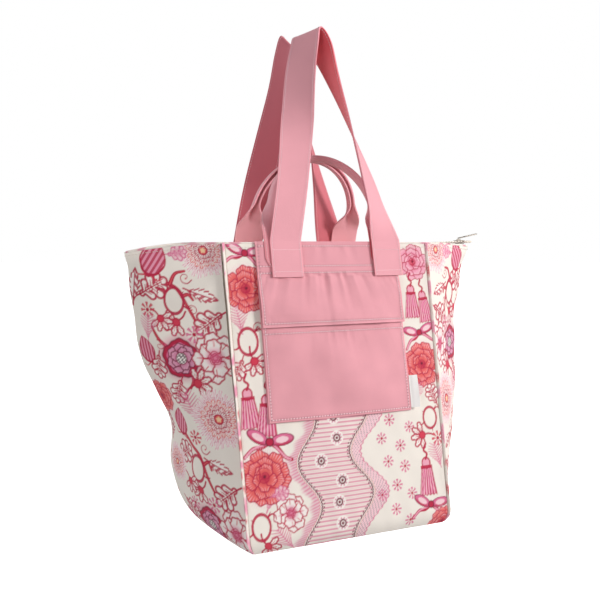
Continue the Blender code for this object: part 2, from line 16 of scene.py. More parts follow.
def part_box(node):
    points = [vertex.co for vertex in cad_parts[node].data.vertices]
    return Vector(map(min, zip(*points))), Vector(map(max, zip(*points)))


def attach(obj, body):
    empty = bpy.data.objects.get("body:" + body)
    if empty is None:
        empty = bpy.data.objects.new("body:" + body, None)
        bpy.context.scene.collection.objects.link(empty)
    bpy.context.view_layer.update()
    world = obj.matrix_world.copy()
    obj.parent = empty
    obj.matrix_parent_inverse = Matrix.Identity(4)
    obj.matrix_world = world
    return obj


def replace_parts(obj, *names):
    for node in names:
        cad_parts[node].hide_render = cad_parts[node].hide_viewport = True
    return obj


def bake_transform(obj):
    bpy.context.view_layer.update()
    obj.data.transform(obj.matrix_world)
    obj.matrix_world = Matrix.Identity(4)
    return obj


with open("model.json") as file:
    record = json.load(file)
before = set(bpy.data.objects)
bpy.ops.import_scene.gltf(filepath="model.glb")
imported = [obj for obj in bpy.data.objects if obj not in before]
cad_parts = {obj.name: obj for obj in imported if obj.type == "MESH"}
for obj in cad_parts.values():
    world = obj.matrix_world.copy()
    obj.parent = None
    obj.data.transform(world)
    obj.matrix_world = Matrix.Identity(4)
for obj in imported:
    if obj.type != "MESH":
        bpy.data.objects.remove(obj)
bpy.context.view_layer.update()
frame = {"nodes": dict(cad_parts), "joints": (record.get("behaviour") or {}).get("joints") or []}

FRONT, BACK = -1, 1
LEFT, RIGHT = -1, 1
SIDE_NAMES = {LEFT: "left", RIGHT: "right"}
FACE_NAMES = {FRONT: "front", BACK: "back"}

# The body, as the CAD makes it
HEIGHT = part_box("front_panel")[1][2]
BASE_HALF_WIDTH, TOP_HALF_WIDTH = 0.133, 0.138
BASE_HALF_DEPTH, TOP_HALF_DEPTH = 0.123, 0.051
WELT_CLEAR = 0.0024
WING_REACH = {
    LEFT: ((0.0, 0.1, 0.2, 0.3, 0.4, 0.5, 0.6, 0.8, 1.0),
           (0.018, 0.043, 0.051, 0.051, 0.058, 0.071, 0.086, 0.098, 0.105)),
    RIGHT: ((0.0, 0.1, 0.2, 0.4, 0.6, 0.7, 0.8, 0.9, 1.0),
            (0.018, 0.043, 0.056, 0.073, 0.078, 0.081, 0.087, 0.096, 0.105)),
}
WING_SAG = {LEFT: 0.011, RIGHT: 0.004}
LEAN = (BASE_HALF_DEPTH - TOP_HALF_DEPTH) / HEIGHT
TILT = math.atan(LEAN)

# How the cloth sags and folds away from the CAD's clean surfaces
BOW = 0.0045
BASE_ROUND = 0.018
BASE_TUCK = 0.045
CLOTH = 0.0014
PRINT_CELLS = {"front": (264, 348), "side": (252, 352)}
CORE = 4

# Pocket
POCKET_LOW, POCKET_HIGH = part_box("pocket_backing")
POCKET_LEFT, POCKET_RIGHT = POCKET_LOW[0], POCKET_HIGH[0]
POCKET_BOTTOM = 0.142
POUCH_TOP = 0.262
FLAP_HINGE = 0.3065
FLAP_EDGE = 0.2500
FLAP_ROWS = (0.3455, 0.3215, 0.3135, 0.2542)
POUCH_ROWS = (0.1456, 0.2430)
EDGE_STITCH = 0.003
HEM_ROW = 0.3445

# Straps and handles
STRAP_WIDTH = 0.040
STRAP_THICK = 0.0022
STRAP_END = 0.308
STRAP_X = {FRONT: (-0.062, 0.075), BACK: (-0.070, 0.050)}
STRAP_PEAK = {FRONT: (-0.011, -0.008, 0.6125), BACK: (-0.017, 0.034, 0.6065)}
# x of each leg's centre line at a share of the way up from the edge to the peak
STRAP_LEG = {
    FRONT: {LEFT: ((0.0, -0.0620), (0.26, -0.0504), (0.54, -0.0388), (0.78, -0.0284), (0.93, -0.0182)),
            RIGHT: ((0.0, 0.0750), (0.26, 0.0556), (0.54, 0.0340), (0.78, 0.0155), (0.93, 0.0035))},
    BACK: {LEFT: ((0.0, -0.0700), (0.26, -0.0566), (0.54, -0.0403), (0.78, -0.0280), (0.93, -0.0230)),
           RIGHT: ((0.0, 0.0500), (0.26, 0.0346), (0.54, 0.0161), (0.78, 0.0020), (0.93, -0.0060))},
}
# degrees each leg has twisted about the vertical at a share of the way up
STRAP_TURN = {
    FRONT: {LEFT: ((0.0, 0.35, 0.5, 0.62, 0.8, 1.0), (0, -3, -14, -36, -46, -56)),
            RIGHT: ((0.0, 0.15, 0.29, 0.575, 0.74, 0.87, 1.0), (-180, -150, -139, -113.8, -99, -83, -56))},
    BACK: {LEFT: ((0.0, 0.25, 0.5, 0.75, 1.0), (0, -19, -38, -57, -76.5)),
           RIGHT: ((0.0, 0.25, 0.5, 0.75, 1.0), (-180, -143.4, -118.5, -96.6, -76.5))},
}
# how much higher than the centre line the strap's two edges are at the peak, and where that begins
STRAP_TILT = {FRONT: (-0.0043, 0.0040), BACK: (0.0150, 0.0)}
STRAP_TILT_START = 0.7
STRAP_LEAF = {FRONT: 0.0051, BACK: 0.0025}
STRAP_LEAN_POWER = 1.6
STRAP_LEAF_ROWS = 14
HANDLE_LEAF_ROWS, HANDLE_SPADE_ROWS = 10, 13
HANDLE_X = {FRONT: (-0.070, 0.0725), BACK: (-0.070, 0.070)}
HANDLE_PEAK = 0.457
HANDLE_SPADE_TOP = 0.385
HANDLE_END = 0.316
HANDLE_LEAF = {FRONT: 0.0034, BACK: 0.0008}
HANDLE_LEAN = 0.34
HANDLE_THICK = 0.0018
HANDLE_FOLDED = 0.0135
HANDLE_FLAT = 0.0188
HANDLE_FOLD_SPAN = (0.366, 0.408)
HANDLE_FOLD_ANGLE = math.radians(84)
EDGE_RISE = 0.0016

# Zip closure, in a frame that rises from the left wing tip to the right one
ZIP_MIDDLE = 0.3435
ZIP_RISE = 0.0335
BAND_HALF_LENGTH = 0.132
BAND_REACH = 0.1358
BAND_OUTER, BAND_INNER = 0.0457, 0.0140
TAPE_OUTER, TAPE_INNER = 0.0155, 0.0033
TAIL_START, TAIL_END, TAIL_OUTER = 0.1323, 0.2360, 0.0080
TAPE_THICK = 0.0008
TOOTH_PITCH = 0.0026
TOOTH_START = 0.00065
TOOTH_END = 0.0034
TOOTH_HALF = (0.00062, 0.0014)
ZIP_STITCH_RISE = 0.0016

# Thickness of each sheet
BACKING_THICK, FLAP_THICK, POUCH_THICK = 0.0009, 0.0013, 0.0014
LABEL_THICK = 0.0003
LINING_THICK, FACING_THICK = 0.0007, 0.0010
BAND_THICK, GUSSET_THICK = 0.0012, 0.0010

# The inside: how far each piece lies inside the body's outline, and how high
LINING_INSET, FACING_INSET = 0.0046, 0.0036
LINING_SPAN, FACING_SPAN = (0.016, 0.93), (0.934, 0.997)
LINING_FLOOR = 0.0062

# The welts: how far each fin stands out, half its thickness, and its heading from the side
WELT_FIN = {LEFT: (0.0054, 0.0013), RIGHT: (0.0030, 0.0010)}
WELT_ROOT = 0.0010
WELT_HEADING = math.radians(52)
WELT_AROUND = 12

# Stitches: pitch, length, radius and, where it isn't the usual one, how far they are lifted
STITCH_PITCH = 0.0036
HEM_STITCH = (0.0042, 0.0028, 0.0004, 0.0002)
WELT_STITCH = (0.0036, 0.0024, 0.0003)
STRAP_STITCH = (0.0036, 0.0025, 0.00032)
HANDLE_STITCH = (0.0034, 0.0024, 0.00035)
CLOSURE_STITCH = (0.0036, 0.0025, 0.0003)
TAB_STITCH = (0.0026, 0.0018, 0.00028)
UP = np.array((0.0, 0.0, 1.0))

# The pull, in its own frame: x runs along it from its hinge. Its loop has a half length, a half
# width and a wire radius
PULL_START, PULL_END = 0.0045, 0.0318
PULL_THICK = 0.0008
PULL_LIFT = math.radians(9)
PULL_LOOP = (0.0036, 0.0021, 0.0006)
PULL_LOOP_MIDDLE = 0.0026

# How far apart a wave texture's bands are at scale 1
WAVE_SPACING = 0.314

# The print: how far along the cloth a wing's fold lies from the front corner, and how soft the
# edge of the ink is
WING_FOLD_RUN = 0.118
INK_EDGE = 0.0005
RING_DOT = 0.0050

# Studio
FLOOR_LEVEL = -0.0002
FLOOR_RADIUS = 14
FLOOR_WHITE = (0.94, 0.94, 0.94, 1)
# The world lights the bag with this grey, and looks white to the camera
WORLD_LIGHT = (0.40, 0.387, 0.392, 1)
WHITE = (1, 1, 1, 1)
# name, place, target, size, watts, colour, spread in degrees
LIGHTS = (
    ("key", (1.45, -1.45, 1.05), (0.05, 0, 0.22), 0.6, 35, (1.0, 0.98, 0.97), 180),
    ("edge", (1.8, -0.35, 0.72), (0.06, 0, 0.40), 0.4, 7, (1, 1, 1), 180),
    ("fill", (-1.3, -0.9, 0.12), (-0.12, 0, 0.14), 0.8, 1.5, (1, 1, 1), 80),
    ("back", (-1.0, 1.9, 1.1), (0, 0, 0.22), 2.2, 23, (1, 1, 1), 180),
)
CAMERA_PLACE = (-0.416, -0.903, 0.349)
CAMERA_HEADING, CAMERA_PITCH = math.radians(23.77), math.radians(-4.22)
CAMERA_LENS = 45.9
CAMERA_SENSOR = 36


def srgb(red, green, blue):
    """A linear colour from the usual 0 to 255 values."""
    values = np.array((red, green, blue)) / 255.0
    return np.where(values <= 0.04045, values / 12.92, ((values + 0.055) / 1.055) ** 2.4)


CREAM = srgb(243, 236, 226)
WHITE_INK = srgb(250, 244, 238)
MAROON = srgb(118, 28, 52)
CRIMSON = srgb(190, 38, 72)
RED = srgb(214, 62, 84)
CORAL = srgb(232, 104, 100)
ROSE = srgb(222, 110, 150)
PINK = srgb(238, 160, 184)
BLUSH = srgb(247, 206, 214)
LILAC = srgb(220, 146, 178)
GREY = srgb(120, 104, 108)
HONEY = srgb(250, 214, 170)
CANVAS_PINK = srgb(237, 166, 176)
WEBBING_PINK = srgb(243, 172, 182)
# The straps' reverse face: a deeper red painted in as shade
WEBBING_INNER_PAINTED_SHADE = srgb(216, 116, 128)
# A darker red painted on the front handle's ends as the straps' shadow
WEBBING_PAINTED_SHADOW = srgb(206, 84, 96)
# A brighter red painted on the front strap's reverse face as bounce light
WEBBING_GLOW = srgb(240, 96, 106)
COTTON = srgb(238, 228, 212)
TAPE_CREAM = srgb(232, 216, 206)
LABEL_WHITE = srgb(252, 250, 247)
CANVAS_THREAD = srgb(255, 220, 224)
CREAM_THREAD = srgb(226, 214, 204)


# ---------------------------------------------------------------- small maths
def smooth_step(low, high, value):
    share = np.clip((value - low) / (high - low), 0.0, 1.0)
    return share * share * (3 - 2 * share)


def smooth_table(table, t):
    """A smooth curve through the points of a table (Catmull-Rom)."""
    places, values = (np.array(row) for row in table)
    i = np.clip(np.searchsorted(places, t, side="right") - 1, 0, len(places) - 2)
    span = places[i + 1] - places[i]
    s = (t - places[i]) / span
    left, right = np.maximum(i - 1, 0), np.minimum(i + 2, len(places) - 1)
    slope_in = (values[i + 1] - values[left]) / (places[i + 1] - places[left]) * span
    slope_out = (values[right] - values[i]) / (places[right] - places[i]) * span
    return ((2 * s**3 - 3 * s**2 + 1) * values[i] + (s**3 - 2 * s**2 + s) * slope_in
            + (3 * s**2 - 2 * s**3) * values[i + 1] + (s**3 - s**2) * slope_out)


def curve_through(points, count):
    """Points evenly spaced in parameter on a smooth curve through the given points."""
    points = np.array(points, float)
    places = np.linspace(0, len(points) - 1 - 1e-6, count)
    stops = np.arange(len(points))
    return np.stack([smooth_table((stops, points[:, k]), places) for k in range(points.shape[1])], -1)


def ripple(a, b, seed, longest, count=7):
    """Gentle uneven waves between -1 and 1 over two coordinates in metres."""
    random = np.random.default_rng(seed)
    total = np.zeros_like(np.asarray(a, float) + b)
    for _ in range(count):
        heading = random.uniform(0, math.pi)
        pace = math.tau / (longest * random.uniform(0.45, 1.0))
        start = random.uniform(0, math.tau)
        total += np.sin(pace * (a * math.cos(heading) + b * math.sin(heading)) + start)
    return total / count


def around(count):
    """Evenly spaced angles once around a circle."""
    return np.linspace(0, math.tau, count + 1)[:-1]


def wave(place, length):
    return np.sin(math.tau * place / length)


def unit(vectors):
    return vectors / np.maximum(np.linalg.norm(vectors, axis=-1, keepdims=True), 1e-12)


def grid_normals(grid):
    return unit(np.cross(np.gradient(grid, axis=1), np.gradient(grid, axis=0)))


# ---------------------------------------------------------------- body surfaces
def corner(t):
    return (BASE_HALF_WIDTH + (TOP_HALF_WIDTH - BASE_HALF_WIDTH) * t,
            BASE_HALF_DEPTH + (TOP_HALF_DEPTH - BASE_HALF_DEPTH) * t)


def tuck(points):
    """Draws the lowest part of the body in a little, so that the base has soft rounded edges."""
    share = np.clip(1 - points[..., 2] / BASE_ROUND, 0, 1)
    points[..., :2] *= (1 - BASE_TUCK * share**2)[..., None]
    return points


def side_point(side, u, t):
    """A point of a side panel: u is -1 at the front corner, 0 in the middle and 1 at the back."""
    half_width, half_depth = corner(t)
    fold = t * t
    reach = smooth_table(WING_REACH[side], t) * (fold * (1 - abs(u)) + (1 - fold) * (1 - u * u))
    drop = WING_SAG[side] * (1 - abs(u)) ** 2 * t**4
    push = side_folds(side, u, t) / np.hypot(1, u)
    return tuck(np.stack(np.broadcast_arrays(side * (half_width + reach + push), u * (half_depth + push),
                                             t * HEIGHT - drop), -1))


def side_folds(side, u, t):
    """How far soft folds push a side panel outward: a crease, a hollow and waves across it."""
    crease = np.exp(-((u + 0.42 - 0.5 * (t - 0.5)) / 0.12) ** 2) * smooth_step(0.15, 0.4, t)
    hollow = np.exp(-((u - 0.35 + 0.6 * (t - 0.6)) / 0.14) ** 2) * smooth_step(0.2, 0.5, t)
    waves = ripple(u * 0.12, t * HEIGHT, 21 + side, 0.11)
    level = smooth_step(1.0, 0.82, abs(u)) * smooth_step(0, 0.12, t) * smooth_step(1.0, 0.93, t)
    return level * (0.0030 * crease - 0.0035 * hollow + 0.0045 * waves)


def face_bow(x, z):
    """How far the front or back bows out between its seams."""
    across = np.clip(1 - (np.asarray(x) / BASE_HALF_WIDTH) ** 2, 0, 1)
    upright = np.sin(math.pi * np.clip(np.asarray(z) / HEIGHT, 0, 1))
    return BOW * across * upright * (1 + 0.35 * ripple(x, z, 4, 0.16))


def face_place(face, x, z, n=0.0):
    """Points at distance n outside the bowed front or back, at height z on the panel."""
    x, z, n = np.broadcast_arrays(np.asarray(x, float), z, n)
    out = n + face_bow(x, z)
    y = face * (BASE_HALF_DEPTH - LEAN * z + out * math.cos(TILT))
    return tuck(np.stack((x, y, z + n * math.sin(TILT)), -1))


def body_ring(t, inset, per_face=40, per_side=60):
    """The body's outline at level t, anticlockwise from the front left corner, moved inward."""
    half_width, half_depth = corner(t)
    run = np.linspace(-1, 1, per_face, endpoint=False)
    turn = np.linspace(-1, 1, per_side, endpoint=False)
    height = np.full(per_face, t * HEIGHT)
    front = np.stack((run * half_width, np.full(per_face, -half_depth), height), -1)
    back = np.stack((-run * half_width, np.full(per_face, half_depth), height), -1)
    right = side_point(RIGHT, turn, np.full(per_side, t))
    left = side_point(LEFT, -turn, np.full(per_side, t))
    ring = np.concatenate((tuck(front), right, tuck(back), left))
    ahead = unit(np.roll(ring, -1, 0) - ring)[:, :2]
    behind = unit(ring - np.roll(ring, 1, 0))[:, :2]
    normal_ahead = np.stack((-ahead[:, 1], ahead[:, 0]), -1)
    normal_behind = np.stack((-behind[:, 1], behind[:, 0]), -1)
    middle = unit(normal_ahead + normal_behind)
    reach = inset / np.maximum((middle * normal_ahead).sum(-1), 0.4)
    ring[:, :2] += middle * reach[:, None]
    return ring


# ---------------------------------------------------------------- meshes
def shade(color, like):
    """The same colour for every point of an array of points."""
    return np.broadcast_to(np.asarray(color, float), like.shape[:-1] + (3,))


def finish_mesh(name, points, faces, kind, body, colour=None, uv=None, sharp=50):
    mesh = bpy.data.meshes.new(name)
    mesh.from_pydata(np.asarray(points).reshape(-1, 3).tolist(), [], faces)
    mesh.update()
    mesh.shade_smooth()
    mesh.set_sharp_from_angle(angle=math.radians(sharp))
    if colour is not None:
        attribute = mesh.color_attributes.new("print", "FLOAT_COLOR", "POINT")
        rgba = np.ones((len(mesh.vertices), 4))
        rgba[:, :3] = np.clip(np.asarray(colour).reshape(-1, 3), 0, 1)
        attribute.data.foreach_set("color", rgba.ravel())
    if uv is not None:
        layer = mesh.uv_layers.new(name="cloth")
        corners = np.zeros(len(mesh.loops), int)
        mesh.loops.foreach_get("vertex_index", corners)
        layer.data.foreach_set("uv", np.asarray(uv).reshape(-1, 2)[corners].ravel())
    ob = bpy.data.objects.new(name, mesh)
    bpy.context.scene.collection.objects.link(ob)
    mesh.materials.append(MATERIALS[kind])
    if isinstance(body, str):
        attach(ob, body)
    else:
        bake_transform(ob)
    return ob


def grid_uv(grid):
    """Cloth coordinates in metres: the run along each row and up the middle column."""
    along = np.linalg.norm(np.diff(grid, axis=1), axis=-1)
    along = np.concatenate((np.zeros((len(grid), 1)), np.cumsum(along, 1)), 1)
    up = np.linalg.norm(np.diff(grid[:, grid.shape[1] // 2], axis=0), axis=-1)
    up = np.concatenate(([0.0], np.cumsum(up)))
    return np.stack((along, np.broadcast_to(up[:, None], along.shape)), -1)


def cloth_sheet(name, outer, thickness, kind, body, colour, core=1, centred=False, reverse=None):
    """A closed sheet from a grid of points on its outer face. The grid's columns run so that
    columns cross rows points outward. Its inner face uses every core-th point."""
    rows, columns = outer.shape[:2]
    away = grid_normals(outer)
    if centred:
        outer = outer + away * thickness / 2
    inner = (outer - away * thickness)[::core, ::core]
    uv = grid_uv(outer)
    i, j = np.mgrid[0:rows - 1, 0:columns - 1]
    front = np.stack((i * columns + j, i * columns + j + 1, (i + 1) * columns + j + 1,
                      (i + 1) * columns + j), -1).reshape(-1, 4)
    start = rows * columns
    inner_rows, inner_columns = inner.shape[:2]
    i, j = np.mgrid[0:inner_rows - 1, 0:inner_columns - 1]
    low = start + i * inner_columns + j
    back = np.stack((low, low + inner_columns, low + inner_columns + 1, low + 1), -1).reshape(-1, 4)
    faces = front.tolist() + back.tolist()
    outer_id = np.arange(rows * columns).reshape(rows, columns)
    inner_id = start + np.arange(inner_rows * inner_columns).reshape(inner_rows, inner_columns)
    for line, mate, forward in ((outer_id[0], inner_id[0], False), (outer_id[-1], inner_id[-1], True),
                                (outer_id[:, 0], inner_id[:, 0], True),
                                (outer_id[:, -1], inner_id[:, -1], False)):
        for k in range(len(mate) - 1):
            run = line[k * core:(k + 1) * core + 1].tolist()
            if forward:
                faces.append(run + [int(mate[k + 1]), int(mate[k])])
            else:
                faces.append(run[::-1] + [int(mate[k]), int(mate[k + 1])])
    points = np.concatenate((outer.reshape(-1, 3), inner.reshape(-1, 3)))
    if colour.ndim == 1:
        colour = shade(colour, outer)
    inner_colour = colour[::core, ::core] if reverse is None else shade(reverse, inner)
    colours = np.concatenate((colour.reshape(-1, 3), inner_colour.reshape(-1, 3)))
    uvs = np.concatenate((uv.reshape(-1, 2), uv[::core, ::core].reshape(-1, 2)))
    return finish_mesh(name, points, faces, kind, body, colours, uvs)


def tube_mesh(rings, closed=False):
    """Points and faces of a tube through rings of points; it is capped unless it closes on itself."""
    count, around = rings.shape[:2]
    faces = []
    for i in range(count if closed else count - 1):
        for j in range(around):
            k = (j + 1) % around
            after = (i + 1) % count
            faces.append((i * around + j, i * around + k, after * around + k, after * around + j))
    if not closed:
        faces.append(tuple(reversed(range(around))))
        faces.append(tuple(range((count - 1) * around, count * around)))
    return rings.reshape(-1, 3), faces


def stitches(name, lines, kind, body, pitch=STITCH_PITCH, length=0.0025, radius=0.00058, lift=0.00015,
             straight=False):
    """Rows of short raised stitches. Each line is its points and the normals of the cloth there.
    A straight row counts its pitch from end to end, whatever small gathers lie between."""
    ring = np.array([(math.cos(a), math.sin(a)) for a in around(5)])
    stations = ((-0.5, 0.45), (0.0, 1.0), (0.5, 0.45))
    template = np.concatenate([np.column_stack((np.full(5, along * length), ring * radius * size))
                               for along, size in stations])
    _, faces = tube_mesh(template.reshape(3, 5, 3))
    all_points, all_faces = [], []
    for points, normals in lines:
        steps = np.linalg.norm(np.diff(points, axis=0), axis=1)
        run = np.concatenate(([0.0], np.cumsum(steps)))
        if straight:
            run = np.linspace(0, np.linalg.norm(points[-1] - points[0]), len(points))
        for place in np.arange(pitch / 2, run[-1], pitch):
            centre, ahead = (np.array([np.interp(place + shift, run, points[:, k]) for k in range(3)])
                             for shift in (0.0, pitch / 4))
            normal = unit(np.array([np.interp(place, run, normals[:, k]) for k in range(3)]))
            along = ahead - centre
            if np.linalg.norm(along) < 1e-7:
                continue
            along = unit(along)
            across = unit(np.cross(normal, along))
            frame_rows = np.stack((along, across, np.cross(along, across)))
            all_faces += [tuple(i + 15 * len(all_points) for i in face) for face in faces]
            all_points.append(template @ frame_rows + centre + normal * lift)
    return finish_mesh(name, np.concatenate(all_points), all_faces, kind, body)


# ---------------------------------------------------------------- materials
def new_material(name, roughness, sheen=0.0, metallic=0.0):
    made = bpy.data.materials.new(name)
    made.use_nodes = True
    shader = made.node_tree.nodes["Principled BSDF"]
    shader.inputs["Roughness"].default_value = roughness
    shader.inputs["Metallic"].default_value = metallic
    shader.inputs["Specular IOR Level"].default_value = 0.25 if metallic == 0 else 0.5
    if sheen:
        shader.inputs["Sheen Weight"].default_value = sheen
        shader.inputs["Sheen Roughness"].default_value = 0.5
    return made, made.node_tree.nodes, made.node_tree.links, shader


def math_node(nodes, links, operation, *values):
    node = nodes.new("ShaderNodeMath")
    node.operation = operation
    for socket, value in zip(node.inputs, values):
        if isinstance(value, (int, float)):
            socket.default_value = value
        else:
            links.new(value, socket)
    return node.outputs[0]


def add_noise(nodes, links, place, scale, detail):
    noise = nodes.new("ShaderNodeTexNoise")
    noise.inputs["Scale"].default_value = scale
    noise.inputs["Detail"].default_value = detail
    links.new(place, noise.inputs["Vector"])
    return noise.outputs["Fac"]


def add_bump(nodes, links, shader, height, strength, distance):
    bump = nodes.new("ShaderNodeBump")
    bump.inputs["Strength"].default_value = strength
    bump.inputs["Distance"].default_value = distance
    links.new(height, bump.inputs["Height"])
    links.new(bump.outputs["Normal"], shader.inputs["Normal"])


def woven_material(name, pitch, roughness, depth, mottle, sheen, thread_shade=0.10):
    """Woven cloth: its colour comes from the piece, darkened between the threads and mottled."""
    made, nodes, links, shader = new_material(name, roughness, sheen)
    coordinates = nodes.new("ShaderNodeUVMap")
    coordinates.uv_map = "cloth"
    waves = []
    for direction in ("X", "Y"):
        bands = nodes.new("ShaderNodeTexWave")
        bands.bands_direction = direction
        bands.inputs["Scale"].default_value = WAVE_SPACING / pitch
        bands.inputs["Distortion"].default_value = 1.2
        bands.inputs["Detail"].default_value = 1.0
        bands.inputs["Detail Scale"].default_value = 0.6
        links.new(coordinates.outputs["UV"], bands.inputs["Vector"])
        waves.append(bands.outputs["Fac"])
    weave = math_node(nodes, links, "MAXIMUM", waves[0], waves[1])
    slub = add_noise(nodes, links, coordinates.outputs["UV"], 420.0, 3.0)
    cloudy = add_noise(nodes, links, coordinates.outputs["UV"], 28.0, 4.0)
    add_bump(nodes, links, shader, math_node(nodes, links, "ADD", weave, slub), 0.5, depth)
    threads = math_node(nodes, links, "MULTIPLY_ADD", weave, thread_shade, 1.0 - thread_shade)
    patches = math_node(nodes, links, "MULTIPLY_ADD", cloudy, mottle, 1.0 - mottle / 2)
    light = math_node(nodes, links, "MULTIPLY", threads, patches)
    colour = nodes.new("ShaderNodeVertexColor")
    colour.layer_name = "print"
    scaled = nodes.new("ShaderNodeVectorMath")
    scaled.operation = "SCALE"
    links.new(colour.outputs["Color"], scaled.inputs[0])
    links.new(light, scaled.inputs["Scale"])
    links.new(scaled.outputs["Vector"], shader.inputs["Base Color"])
    return made


def plain_material(name, colour, roughness, grain, sheen=0.0, metallic=0.0, spread=0.12):
    """A one-colour material with fine grain: thread, metal or board."""
    made, nodes, links, shader = new_material(name, roughness, sheen, metallic)
    place = nodes.new("ShaderNodeTexCoord")
    noise = add_noise(nodes, links, place.outputs["Object"], grain, 4.0)
    ramp = nodes.new("ShaderNodeValToRGB")
    ramp.color_ramp.elements[0].position = 0.3
    ramp.color_ramp.elements[1].position = 0.7
    ramp.color_ramp.elements[0].color = (*(colour * (1 - spread)), 1)
    ramp.color_ramp.elements[1].color = (*np.minimum(colour * (1 + spread), 1), 1)
    links.new(noise, ramp.inputs["Fac"])
    links.new(ramp.outputs["Color"], shader.inputs["Base Color"])
    add_bump(nodes, links, shader, noise, 0.3, 0.0002)
    return made


MATERIALS = {
    "print": woven_material("printed_canvas", 0.0011, 0.82, 0.00045, 0.10, 0.15),
    "canvas": woven_material("pink_canvas", 0.0012, 0.80, 0.0006, 0.14, 0.25, 0.14),
    "webbing": woven_material("pink_strap_canvas", 0.0010, 0.75, 0.0005, 0.10, 0.25, 0.12),
    "cotton": woven_material("lining_cotton", 0.0009, 0.90, 0.0003, 0.08, 0.1),
    "tape": woven_material("zip_tape_twill", 0.0008, 0.85, 0.0003, 0.06, 0.1, 0.2),
    "label": woven_material("label_tape", 0.0007, 0.60, 0.0002, 0.04, 0.1),
    "thread": plain_material("pink_thread", CANVAS_THREAD, 0.6, 900.0, 0.3),
    "cream_thread": plain_material("cream_thread", CREAM_THREAD, 0.6, 900.0, 0.3),
    "metal": plain_material("satin_zip_metal", srgb(158, 150, 140), 0.44, 700.0, metallic=1.0),
    "board": plain_material("stiffener_board", srgb(200, 194, 186), 0.65, 120.0),
}


# ---------------------------------------------------------------- the floral print
class Cloth:
    """The ink on a piece of cloth, at every point of the grid that the piece is made of."""

    def __init__(self, x, y):
        self.x, self.y = x, y
        self.ink = np.array(np.broadcast_to(CREAM, x.shape + (3,)))
        self.ink *= (1 + 0.012 * ripple(x, y, 9, 0.05))[..., None]

    def paint(self, mask, colour, amount=1.0):
        self.ink += (colour - self.ink) * (np.clip(mask, 0, 1) * amount)[..., None]


class Motif:
    """The cloth near one motif, in the motif's own units: its size is 1, and v points up."""

    def __init__(self, cloth, x, y, size, turn=0.0, flip=1, reach=1.6):
        self.cloth, self.x = cloth, x
        self.near = np.nonzero((abs(cloth.x - x) < reach * size) & (abs(cloth.y - y) < reach * size))
        dx, dy = cloth.x[self.near] - x, cloth.y[self.near] - y
        dx = dx * flip
        turn = math.radians(turn)
        self.u = (math.cos(turn) * dx + math.sin(turn) * dy) / size
        self.v = (-math.sin(turn) * dx + math.cos(turn) * dy) / size
        self.r = np.hypot(self.u, self.v)
        self.a = np.arctan2(self.v, self.u)
        self.soft = INK_EDGE / size

    def paint(self, mask, colour, amount=1.0):
        ink = self.cloth.ink[self.near]
        self.cloth.ink[self.near] = ink + (colour - ink) * (np.clip(mask, 0, 1) * amount)[:, None]

    def inside(self, distance):
        """1 where the distance is below zero, with a soft edge."""
        return smooth_step(self.soft, -self.soft, distance)

    def line(self, distance, width):
        return self.inside(abs(distance) - width / 2)

    def fill(self, distance, colour, amount=1.0):
        self.paint(self.inside(distance), colour, amount)

    def edge(self, distance, width, colour, amount=1.0):
        self.paint(self.line(distance, width), colour, amount)

    def far(self, u, v):
        return np.hypot(self.u - u, self.v - v)

    def dot(self, u, v, radius, colour, rim=None):
        self.fill(self.far(u, v) - radius, colour)
        if rim is not None:
            self.edge(self.far(u, v) - radius, 0.3 * radius, rim)

    def lobes(self, rounds):
        """Signed distance to a shape made of overlapping rounds, each (u, v, radius)."""
        return np.min([self.far(u, v) - radius for u, v, radius in rounds], axis=0)

    def outlined(self, shape, fill, edge, width, amount=0.9):
        self.fill(shape, fill, amount)
        self.edge(shape, width, edge, 0.95)

    def stroke(self, points, width, colour, taper=0.0, smooth=True, amount=1.0):
        """A drawn line through points, thinning towards its end by the taper."""
        path = curve_through(points, 6 * len(points)) if smooth and len(points) > 2 else np.array(points)
        best = np.full(self.u.shape, 9.0)
        for k, (start, end) in enumerate(zip(path, path[1:])):
            step = end - start
            along = np.clip(((self.u - start[0]) * step[0] + (self.v - start[1]) * step[1])
                            / max(step @ step, 1e-9), 0, 1)
            gap = self.far(start[0] + along * step[0], start[1] + along * step[1])
            best = np.minimum(best, gap - width / 2 * (1 - taper * (k + along) / (len(path) - 1)))
        self.fill(best, colour, amount)

    def leaf_shape(self, base, tip, width, edge):
        """(signed distance, share along, offset) of a leaf, half width width times edge(share)."""
        base, tip = np.array(base), np.array(tip)
        step = tip - base
        length = np.linalg.norm(step)
        along = ((self.u - base[0]) * step[0] + (self.v - base[1]) * step[1]) / length**2
        across = ((self.v - base[1]) * step[0] - (self.u - base[0]) * step[1]) / length
        half = width * edge(np.clip(along, 0, 1))
        outside = np.maximum(-along, along - 1) * length
        return np.maximum(abs(across) - half, outside), along, across


def petalled(m, rings, light, deep, edge, tip, seed, line=0.05):
    """Overlapping ruffled petals, drawn from the outer ring inward."""
    random = np.random.default_rng(seed)
    for ring, count, petal in rings:
        for k in range(count):
            angle = (k + random.uniform(-0.25, 0.25)) * math.tau / count + 5 * ring
            u, v = ring * math.cos(angle), ring * math.sin(angle)
            around = np.arctan2(m.v - v, m.u - u)
            shape = m.far(u, v) - petal * random.uniform(0.88, 1.14) * (1 + 0.07 * np.sin(6 * around + k))
            out = (m.r - ring) / petal
            body, hairs = m.inside(shape), smooth_step(-0.2, 0.5, np.sin(52 * m.a))
            m.paint(body, light)
            m.paint(body * smooth_step(0.35, -0.7, out), deep, 0.8)
            m.paint(body * smooth_step(0.1, 0.8, out) * hairs, tip, 0.5)
            m.edge(shape, line, edge, 0.9)


